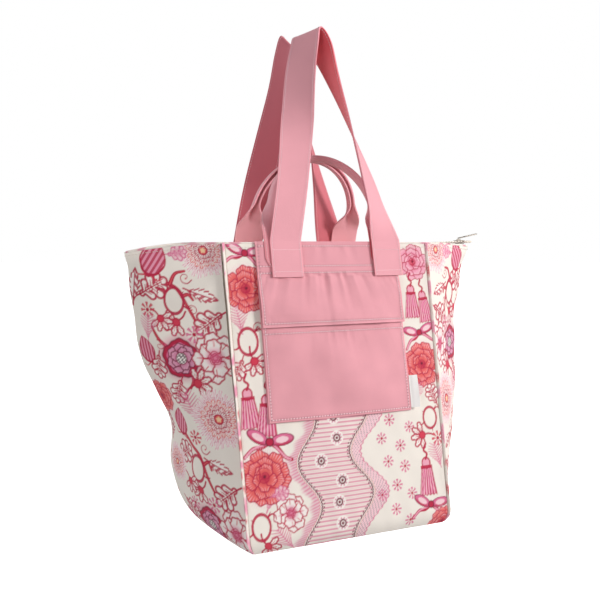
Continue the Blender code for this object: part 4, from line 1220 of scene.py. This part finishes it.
def pouch_out(x, z):
    """Distance of the pouch's face: sewn down at the sides and bottom, slack at its mouth."""
    middle, half = (POCKET_LEFT + POCKET_RIGHT) / 2, (POCKET_RIGHT - POCKET_LEFT) / 2
    across = np.clip(1 - (abs(x - middle) / half) ** 6, 0, 1)
    up = np.clip((z - POCKET_BOTTOM) / (POUCH_TOP - POCKET_BOTTOM), 0, 1)
    belly = np.sin(math.pi * (0.08 + 0.52 * up)) ** 0.8
    slack = 0.0022 * across * np.where(up < 0.02, up / 0.02, 1) * belly
    gathers = pucker(x, z, 0.243, 0.016, 0.0003) * across
    crest = -0.035 + 0.07 * (1 - up)
    ridge = 0.0050 * np.exp(-((x - crest) / 0.034) ** 2)
    ridge = ridge * smooth_step(0.0, 0.35, up) * smooth_step(0.84, 0.55, up)
    return 0.0030 + slack + gathers + across * (ridge + 0.0022 * ripple(x, z, 6, 0.10))


def make_pocket():
    wide = (POCKET_LEFT, POCKET_RIGHT)
    span = (POCKET_BOTTOM, HEIGHT - 0.0003)
    x, z, grid = face_grid(FRONT, wide, span, (90, 90), lambda x, z: 0.0013 + 0 * x)
    colour = canvas_colour(CANVAS_PINK, x, z, wide, (POCKET_BOTTOM, 0.4))
    backing = cloth_sheet("pocket_backing_cloth", grid, BACKING_THICK, "canvas", "bag", colour)
    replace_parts(backing, "pocket_backing")

    span = (FLAP_EDGE, HEIGHT + 0.0010)
    x, z, grid = face_grid(FRONT, wide, span, (190, 100), flap_out)
    colour = canvas_colour(CANVAS_PINK, x, z, wide, (FLAP_EDGE, 0.4), FLAP_ROWS)
    hinge = face_place(FRONT, 0.0, FLAP_HINGE, 0.003)
    hang = ("bag", "pocket_flap", tuple(hinge + (0, 0, 0.003)), tuple(hinge - (0, 0, 0.004)))
    flap = cloth_sheet("pocket_flap_cloth", grid, FLAP_THICK, "canvas", hang, colour)
    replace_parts(flap, "pocket_flap", "flap_band")
    rows = stitch_frame(wide, FLAP_ROWS, (FLAP_ROWS[-1], FLAP_ROWS[2]), (200, 60), flap_out)
    stitches("pocket_flap_stitches", rows, "thread", hang, straight=True)

    inner = (wide[0] + 0.0006, wide[1] - 0.0006)
    span = (POCKET_BOTTOM + 0.0006, POUCH_TOP)
    x, z, grid = face_grid(FRONT, inner, span, (170, 110), pouch_out)
    colour = canvas_colour(CANVAS_PINK, x, z, inner, span, POUCH_ROWS)
    pouch = cloth_sheet("pocket_pouch_cloth", grid, POUCH_THICK, "canvas", "bag", colour)
    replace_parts(pouch, "pocket_pouch")
    rows = stitch_frame(inner, POUCH_ROWS, (POUCH_ROWS[0], POUCH_TOP - 0.002), (160, 90), pouch_out)
    stitches("pocket_pouch_stitches", rows, "thread", "bag", straight=True)


def make_label():
    """A blank folded label, caught in the pocket's side seam."""
    low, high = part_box("side_label")
    z = np.linspace(low[2], high[2], 30)[:, None]
    fold = np.linspace(0, 1, 25)[None, :]
    width = high[0] - low[0] + 0.001
    x = low[0] - 0.0006 + width * (1 - abs(1 - 2 * fold))
    leaf = np.where(fold < 0.5, 1, -1) * smooth_step(0, 0.2, 0.5 - abs(fold - 0.5))
    lift = 0.0034 + 0.0016 * np.sin(math.pi * fold) + 0.0010 * leaf
    curl = 0.0022 * ((x - low[0]) / width) ** 2 * (1 + 0.4 * np.sin(90 * z))
    x, z, lift = np.broadcast_arrays(x, z, lift + curl)
    grid = face_place(FRONT, x, z, lift)
    ob = cloth_sheet("side_label_cloth", grid, LABEL_THICK, "label", "bag", LABEL_WHITE)
    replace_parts(ob, "side_label")


# ---------------------------------------------------------------- straps and handles
def strap_route(face):
    """Centre points and turn of the strap, from one sewn end over the bar to the other."""
    foot = face_place(face, 0, HEIGHT + EDGE_RISE, STRAP_LEAF[face])
    peak = np.array(STRAP_PEAK[face])
    rise = peak[2] - foot[2]
    legs = STRAP_LEG[face]
    points = [(x, foot[2] + rise * share) for share, x in legs[LEFT]]
    points.append((peak[0], peak[2]))
    points += [(x, foot[2] + rise * share) for share, x in reversed(legs[RIGHT])]
    points = np.array([(x, foot[1] + (peak[1] - foot[1]) * ((z - foot[2]) / rise) ** STRAP_LEAN_POWER, z)
                       for x, z in points])
    path = curve_through(points, 180)
    share = np.clip((path[:, 2] - foot[2]) / rise, 0, 1)
    top = int(path[:, 2].argmax())
    tables = STRAP_TURN[face]
    turn = np.where(np.arange(len(path)) <= top, smooth_table(tables[LEFT], share),
                    smooth_table(tables[RIGHT], share))
    return path, np.radians(turn), share


def make_strap(face):
    path, turn, share = strap_route(face)
    left, right = STRAP_X[face]
    leaf = np.linspace(STRAP_END, HEIGHT, STRAP_LEAF_ROWS)
    still = np.zeros(STRAP_LEAF_ROWS)
    foot_out = STRAP_LEAF[face]
    lead = face_place(face, left, leaf, foot_out)
    tail = face_place(face, right, leaf[::-1], foot_out)
    path = np.concatenate((lead, path, tail))
    turn = np.concatenate((still, turn, still - math.pi))
    near_peak = np.concatenate((still, share, still)) - STRAP_TILT_START
    near_peak = (np.clip(near_peak, 0, 1) / (1 - STRAP_TILT_START)) ** 2
    s = np.linspace(-1, 1, 17)
    z = path[:, 2]
    across = np.stack((np.cos(turn), np.sin(turn), 0 * turn), -1) * STRAP_WIDTH / 2
    grid = path[:, None] + s[None, :, None] * across[:, None]
    far_rise, near_rise = STRAP_TILT[face]
    grid[..., 2] += near_peak[:, None] * np.where(s < 0, -s * far_rise, s * near_rise)[None]
    normal = grid_normals(grid)
    clear = smooth_step(STRAP_LEAF_ROWS, 40, np.arange(len(path)))
    cup = 0.0006 * (s**2)[None, :, None] * clear[:, None, None]
    grid = grid + normal * cup
    if face == BACK:
        grid = grid[:, ::-1]
    edge = 1 - abs(s)
    # Painted highlight along the strap's edges and painted shade along its stitch lines; the ripple is random
    # tone
    tone = 1 + 0.10 * smooth_step(0.10, 0.02, edge) - 0.05 * np.exp(-((edge - 0.16) / 0.05) ** 2)
    tone = tone[None, :] * (1 + 0.02 * ripple(path[:, 2], path[:, 0], 12, 0.08))[:, None]
    colour = np.clip(WEBBING_PINK * tone[..., None], 0, 1)
    name = FACE_NAMES[face]
    pivot_y = float(face_place(face, 0, HEIGHT, foot_out)[1])
    fold = ("bag", f"{name}_shoulder_strap", (0, pivot_y, 0.3485), (0, pivot_y, 0.3600))
    # The reverse face is painted a deeper red as shade. On the front strap's right leg, above about 0.40 m,
    # it turns a brighter red as painted bounce light
    glow = smooth_step(0.40, 0.56, z) * (np.arange(len(path)) > z.argmax()) * (face == FRONT)
    inner = WEBBING_INNER_PAINTED_SHADE + (WEBBING_GLOW - WEBBING_INNER_PAINTED_SHADE) * glow[:, None, None]
    strap = cloth_sheet(f"{name}_strap_cloth", grid, STRAP_THICK, "webbing", fold, colour, centred=True,
                        reverse=inner)
    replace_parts(strap, f"{name}_shoulder_strap", f"{name}_left_strap_end", f"{name}_right_strap_end")
    away = grid_normals(grid)
    rows = [(grid[:, column] + away[:, column] * way * STRAP_THICK / 2, away[:, column] * way)
            for column in (1, -2) for way in (1, -1)]
    rows += [(grid[level, 1:-1] + away[level, 1:-1] * STRAP_THICK / 2, away[level, 1:-1])
             for level in (2, 10, -3, -11)]
    stitches(f"{name}_strap_stitches", rows, "thread", fold, *STRAP_STITCH)


def make_handle(face):
    """A short handle: flat spade ends whose edges fold inward and meet in a narrow doubled band."""
    foot_z = HEIGHT + EDGE_RISE
    foot = face_place(face, 0, foot_z, HANDLE_LEAF[face])
    leaf_z = np.linspace(HANDLE_END, HEIGHT, HANDLE_LEAF_ROWS)
    left, right = HANDLE_X[face]
    middle, half_span = (left + right) / 2, (right - left) / 2
    lead = face_place(face, left, leaf_z, HANDLE_LEAF[face])
    tail = face_place(face, right, leaf_z[::-1], HANDLE_LEAF[face])
    spade_z = np.linspace(foot_z, HANDLE_SPADE_TOP, HANDLE_SPADE_ROWS + 1)[:-1]
    angle = np.linspace(0, math.pi, 90)
    arch = HANDLE_PEAK - HANDLE_SPADE_TOP
    x = np.concatenate((np.full(HANDLE_SPADE_ROWS, left), middle - np.cos(angle) * half_span,
                        np.full(HANDLE_SPADE_ROWS, right)))
    z = np.concatenate((spade_z, HANDLE_SPADE_TOP + arch * np.sin(angle), spade_z[::-1]))
    y = foot[1] - face * HANDLE_LEAN * (z - foot_z)
    path = np.concatenate((lead, np.stack((x, y, z), -1), tail))
    still = np.zeros(HANDLE_LEAF_ROWS)
    fold = np.concatenate((still, smooth_step(*HANDLE_FOLD_SPAN, z), still))
    tangent = unit(np.gradient(path, axis=0))
    across = unit(np.stack((tangent[:, 2], 0 * fold, -tangent[:, 0]), -1))
    inward = unit(np.cross(across, tangent))
    inward = inward * np.sign(inward[:, 1:2] * -face)
    s = np.linspace(-1, 1, 19)
    swing = fold * HANDLE_FOLD_ANGLE
    flat = HANDLE_FLAT * (1 - 0.35 * smooth_step(HANDLE_END + 0.018, HANDLE_END, path[:, 2]))
    half = flat + (HANDLE_FOLDED - flat) * fold
    sideways = abs(s)[None] * (half * np.cos(swing))[:, None]
    spacer = 0.0014 * smooth_step(0.0, 0.25, abs(s))[None] * fold[:, None]
    depth = abs(s)[None] * (half * np.sin(swing))[:, None]
    bulge = 0.0010 * np.sin(math.pi * abs(s))[None] * fold[:, None]
    sideways = np.sign(s)[None] * (sideways + spacer + bulge)
    grid = path[:, None] + across[:, None] * sideways[..., None] + inward[:, None] * depth[..., None]
    if face == BACK:
        grid = grid[:, ::-1]
    edge = 1 - abs(s)
    # Painted highlight along the handle's edges
    tone = 1 + 0.08 * smooth_step(0.12, 0.02, edge)
    # Painted shadow of the strap over the front handle's sewn ends, full on the right end and weaker on the
    # left
    painted_strap_shadow = smooth_step(0.40, 0.345, path[:, 2]) * np.where(path[:, 0] > middle, 1.0, 0.4) * (face == FRONT)
    base = WEBBING_PINK + (WEBBING_PAINTED_SHADOW - WEBBING_PINK) * painted_strap_shadow[:, None]
    colour = np.clip(base[:, None] * tone[None, :, None], 0, 1)
    name = FACE_NAMES[face]
    pivot_y = float(foot[1])
    hold = ("bag", f"{name}_grab_handle", (0, pivot_y, 0.3490), (0, pivot_y, 0.3560))
    handle = cloth_sheet(f"{name}_handle_cloth", grid, HANDLE_THICK, "webbing", hold, colour, centred=True)
    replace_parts(handle, f"{name}_grab_handle", f"{name}_left_handle_end", f"{name}_right_handle_end")
    away = grid_normals(grid)
    rows = [(grid[:, c] + away[:, c] * HANDLE_THICK / 2, away[:, c]) for c in (1, -2)]
    stitches(f"{name}_handle_stitches", rows, "thread", hold, *HANDLE_STITCH)


# ---------------------------------------------------------------- zip closure
ZIP_FRAME = Matrix.Translation((0, 0, ZIP_MIDDLE)) @ Matrix.Rotation(-math.atan(ZIP_RISE), 4, "Y")


def zip_place(points):
    """From the zip's own frame to the row frame."""
    matrix = np.array(ZIP_FRAME)
    return np.asarray(points) @ matrix[:3, :3].T + matrix[:3, 3]


def box_points(low, high, taper=0.8):
    """A small block whose top and bottom are drawn in, as points and faces."""
    low, high = np.array(low), np.array(high)
    middle, half = (low + high) / 2, (high - low) / 2
    rings = []
    for rise, size in ((-1, taper), (-0.55, 1), (0.55, 1), (1, taper)):
        rings.append([(sx * half[0] * size, sy * half[1] * size, rise * half[2])
                      for sx, sy in ((-1, -1), (1, -1), (1, 1), (-1, 1))])
    return tube_mesh(np.array(rings) + middle)


def make_teeth(name, node, side, start, end, body):
    """A row of zip teeth on one side; the two rows are offset by half a pitch."""
    points, faces = [], []
    offset = TOOTH_PITCH / 2 if side == BACK else 0.0
    count = int((end - start - offset) / TOOTH_PITCH)
    for k in range(count):
        x = start + offset + (k + 0.3) * TOOTH_PITCH
        low_y, high_y = sorted((side * TOOTH_START, side * TOOTH_END))
        along, rise = TOOTH_HALF
        block, block_faces = box_points((x - along, low_y, -rise), (x + along, high_y, rise))
        faces += [tuple(i + len(points) * len(block) for i in face) for face in block_faces]
        points.append(block)
    ob = finish_mesh(name, zip_place(np.concatenate(points)), faces, "metal", body, sharp=30)
    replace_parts(ob, node)


def zip_sheet(name, node, side, x_range, y_range, rise, thickness, kind, body, colour, waves=0.0):
    """A strip of the closure. rise gives its height at a share across, from the inner edge."""
    x = np.linspace(*x_range, int((x_range[1] - x_range[0]) / 0.003) + 1)[None, :]
    share = np.linspace(0, 1, 13)[:, None]
    y = side * (y_range[0] + (y_range[1] - y_range[0]) * share)
    x, y, z = np.broadcast_arrays(x, y, rise(share))
    z = z + waves * np.sin(math.pi * share) * ripple(x, y, 40 + side, 0.06)
    grid = zip_place(np.stack((x, y, z), -1))
    if side == FRONT:
        grid = grid[::-1]
    ob = cloth_sheet(name, grid, thickness, kind, body, colour)
    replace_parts(ob, node)


def tape_rise(share):
    return 0.0004 + 0 * share


def band_rise(share):
    """The band is joined to the tape above, and dips between the tape and the facing."""
    return 0.0019 - 0.0024 * np.sin(math.pi * share)


def make_closure():
    reach = (-BAND_HALF_LENGTH, BAND_HALF_LENGTH)
    tail = (TAIL_START, TAIL_END)
    for side in (FRONT, BACK):
        name = FACE_NAMES[side]
        body = f"{name}_closure"
        zip_sheet(f"{name}_closure_cloth", f"{name}_closure_band", side, (-BAND_REACH, BAND_REACH),
                  (BAND_INNER, BAND_OUTER + 0.0012), band_rise, BAND_THICK, "cotton", body, COTTON, 0.0012)
        zip_sheet(f"{name}_zip_tape_cloth", f"{name}_zip_tape", side, reach,
                  (TAPE_INNER - 0.0004, TAPE_OUTER), tape_rise, TAPE_THICK, "tape", body, TAPE_CREAM)
        make_teeth(f"{name}_zip_teeth_row", f"{name}_zip_teeth", side, *reach, body)
        zip_sheet(f"{name}_zip_tail_cloth", f"{name}_zip_tail_tape", side, tail,
                  (TAPE_INNER - 0.0004, TAIL_OUTER), tape_rise, TAPE_THICK, "tape", "bag", TAPE_CREAM)
        make_teeth(f"{name}_zip_tail_teeth_row", f"{name}_zip_tail_teeth", side, *tail, "bag")
        line = np.linspace(-0.131, 0.131, 120)
        rows = [zip_row(line, side * y, ZIP_STITCH_RISE) for y in (BAND_INNER + 0.0018, BAND_OUTER - 0.0022)]
        stitches(f"{name}_closure_stitches", rows, "cream_thread", body, *CLOSURE_STITCH)
    for side in (LEFT, RIGHT):
        make_gusset(side)
    make_tail_end()
    make_slider()


def make_gusset(side):
    """The triangle of lining cloth that closes a wing below the zip's end."""
    name = SIDE_NAMES[side] + "_closure_gusset"
    start, end = BAND_REACH + 0.0004, 0.225
    share = np.linspace(0, 1, 40)[None, :]
    x = start + (end - start) * share
    spread = TOP_HALF_DEPTH * (1 - (x - TOP_HALF_WIDTH) / WING_REACH[side][1][-1])
    half = np.minimum(spread, TOP_HALF_DEPTH) - 0.0046
    f = np.linspace(-1, 1, 49)[:, None]
    x, y = np.broadcast_arrays(x, f * half)
    beside_tape = smooth_step(0.0138, 0.0126, abs(y)) * (1 - share) ** 6
    x = side * (x - (BAND_REACH - BAND_HALF_LENGTH) * beside_tape)
    channel = smooth_step(0.0095, 0.0065, abs(y))
    sag = -0.0008 - 0.0048 * np.maximum(channel, smooth_step(0, 0.3, share)) + 0.0006 * ripple(x, y, 50, 0.04)
    sag = sag - 0.0026 * (1 - f**2) * np.sin(math.pi * share)
    grid = zip_place(np.stack((x, y, sag), -1))
    if side == LEFT:
        grid = grid[:, ::-1]
    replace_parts(cloth_sheet(name + "_cloth", grid, GUSSET_THICK, "cotton", "bag", COTTON), name)


def soft_box_ring(x, wide, thick, powers, count):
    """Points around x, between an oval and a box: a lower power makes that way boxier."""
    ring_points = []
    for angle in around(count):
        aside, rise = math.cos(angle), math.sin(angle)
        ring_points.append((x, wide * np.sign(aside) * abs(aside) ** powers[0],
                            thick * np.sign(rise) * abs(rise) ** powers[1]))
    return ring_points


def zip_row(x, y, z):
    """A line for stitches in the zip's frame, with the way up as its normals."""
    points = np.stack(np.broadcast_arrays(x, y, z), -1)
    return zip_place(points), np.broadcast_to(UP, points.shape)


def make_tail_end():
    """The folded tab over the free end of the tape."""
    x = np.linspace(TAIL_END - 0.004, TAIL_END + 0.0088, 24)
    rings = []
    for place in x:
        share = (place - x[0]) / (x[-1] - x[0])
        thick = 0.0016 * math.sqrt(max(1 - max(share - 0.75, 0) ** 2 / 0.0626, 0.02))
        wide = 0.0078 - 0.0010 * max(share - 0.8, 0) * 5
        rings.append(soft_box_ring(place, wide, thick, (0.3, 0.5), 24))
    points, faces = tube_mesh(zip_place(np.array(rings)))
    ob = finish_mesh("zip_end_tab_cloth", points, faces, "cotton", "bag",
                     shade(COTTON, points), points[:, :2])
    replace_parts(ob, "zip_end_tab")
    row = zip_row(TAIL_END - 0.0025, np.linspace(-0.0068, 0.0068, 12), 0.0017)
    stitches("zip_end_tab_stitches", [row], "cream_thread", "bag", *TAB_STITCH)


def dress_node(node, kind):
    """Gives a piece that keeps the CAD's shape its material."""
    for slot in frame["nodes"][node].material_slots:
        slot.material = MATERIALS[kind]


def make_slider():
    """The slider, its bail and its stop keep the CAD's shapes; the pull is a waisted bar with a
    wire loop through the bail."""
    for node in ("zip_slider", "zip_pull_bail", "zip_bottom_stop"):
        dress_node(node, "metal")
    hinge = Vector(next(j["pos_m"] for j in frame["joints"] if j["name"] == "zip_pull_swing"))
    lift = Matrix.Rotation(-PULL_LIFT - math.atan(ZIP_RISE), 4, "Y")
    place = np.array(Matrix.Translation(hinge) @ lift)
    rings = []
    for x in np.linspace(PULL_START, PULL_END, 26):
        share = (x - PULL_START) / (PULL_END - PULL_START)
        wide = 0.0016 + 0.0011 * smooth_step(0.0, 0.35, share)
        wide *= math.sqrt(max(1 - max((share - 0.86) / 0.145, 0) ** 2, 0.02))
        rings.append(soft_box_ring(x, wide, PULL_THICK, (0.6, 0.6), 16))
    points, faces = tube_mesh(np.array(rings))
    loop = []
    long_half, wide_half, wire = PULL_LOOP
    for a in around(24):
        centre = np.array((PULL_LOOP_MIDDLE + long_half * math.cos(a), wide_half * math.sin(a), 0))
        out = np.array((math.cos(a), math.sin(a), 0))
        loop.append([centre + wire * (out * math.cos(b) + UP * math.sin(b)) for b in around(8)])
    loop_points, loop_faces = tube_mesh(np.array(loop), closed=True)
    faces = faces + [tuple(i + len(points) for i in face) for face in loop_faces]
    points = np.concatenate((points, loop_points)) @ place[:3, :3].T + place[:3, 3]
    pull = finish_mesh("zip_pull_bar", points, faces, "metal", "zip_pull", sharp=40)
    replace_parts(pull, "zip_pull")


# ---------------------------------------------------------------- studio
def make_stage():
    """A plain pale floor, wide and round."""
    points = [(FLOOR_RADIUS * math.cos(a), FLOOR_RADIUS * math.sin(a), FLOOR_LEVEL) for a in around(96)]
    mesh = bpy.data.meshes.new("studio_floor")
    mesh.from_pydata(points, [], [tuple(range(len(points)))])
    floor = bpy.data.objects.new("studio_floor", mesh)
    bpy.context.scene.collection.objects.link(floor)
    paint = bpy.data.materials.new("studio_floor")
    paint.use_nodes = True
    shader = paint.node_tree.nodes["Principled BSDF"]
    shader.inputs["Base Color"].default_value = FLOOR_WHITE
    shader.inputs["Roughness"].default_value = 1.0
    shader.inputs["Emission Color"].default_value = WHITE
    shader.inputs["Emission Strength"].default_value = 1.0
    mesh.materials.append(paint)
    floor.visible_diffuse = False
    floor.visible_glossy = False


def add_light(name, place, target, size, energy, color, spread):
    data = bpy.data.lights.new(name, "AREA")
    data.shape = "DISK"
    data.size = size
    data.energy = energy
    data.color = color
    data.spread = math.radians(spread)
    ob = bpy.data.objects.new(name, data)
    ob.location = place
    ob.rotation_euler = (Vector(target) - Vector(place)).to_track_quat("-Z", "Y").to_euler()
    bpy.context.scene.collection.objects.link(ob)


def make_studio():
    make_stage()
    world = bpy.data.worlds.new("studio")
    world.use_nodes = True
    nodes, links = world.node_tree.nodes, world.node_tree.links
    nodes["Background"].inputs["Color"].default_value = WORLD_LIGHT
    backdrop = nodes.new("ShaderNodeBackground")
    backdrop.inputs["Color"].default_value = WHITE
    path, mix = nodes.new("ShaderNodeLightPath"), nodes.new("ShaderNodeMixShader")
    links.new(path.outputs["Is Camera Ray"], mix.inputs["Fac"])
    links.new(nodes["Background"].outputs["Background"], mix.inputs[1])
    links.new(backdrop.outputs["Background"], mix.inputs[2])
    links.new(mix.outputs["Shader"], nodes["World Output"].inputs["Surface"])
    bpy.context.scene.world = world
    for light in LIGHTS:
        add_light(*light)
    view = bpy.context.scene.view_settings
    view.view_transform = "Standard"
    view.look = "None"


def make_camera():
    data = bpy.data.cameras.new("camera")
    data.lens = CAMERA_LENS
    data.sensor_width = CAMERA_SENSOR
    camera = bpy.data.objects.new("camera", data)
    camera.location = CAMERA_PLACE
    level = math.cos(CAMERA_PITCH)
    aim = Vector((math.sin(CAMERA_HEADING) * level, math.cos(CAMERA_HEADING) * level, math.sin(CAMERA_PITCH)))
    camera.rotation_euler = aim.to_track_quat("-Z", "Y").to_euler()
    bpy.context.scene.collection.objects.link(camera)
    bpy.context.scene.camera = camera


def main():
    make_camera()
    make_studio()
    for face in (FRONT, BACK):
        make_face_panel(face)
        make_strap(face)
        make_handle(face)
    for side in (LEFT, RIGHT):
        make_side_panel(side)
        for face in (FRONT, BACK):
            make_welt(face, side)
    make_base()
    make_rim()
    make_inside()
    make_pocket()
    make_label()
    make_closure()


main()
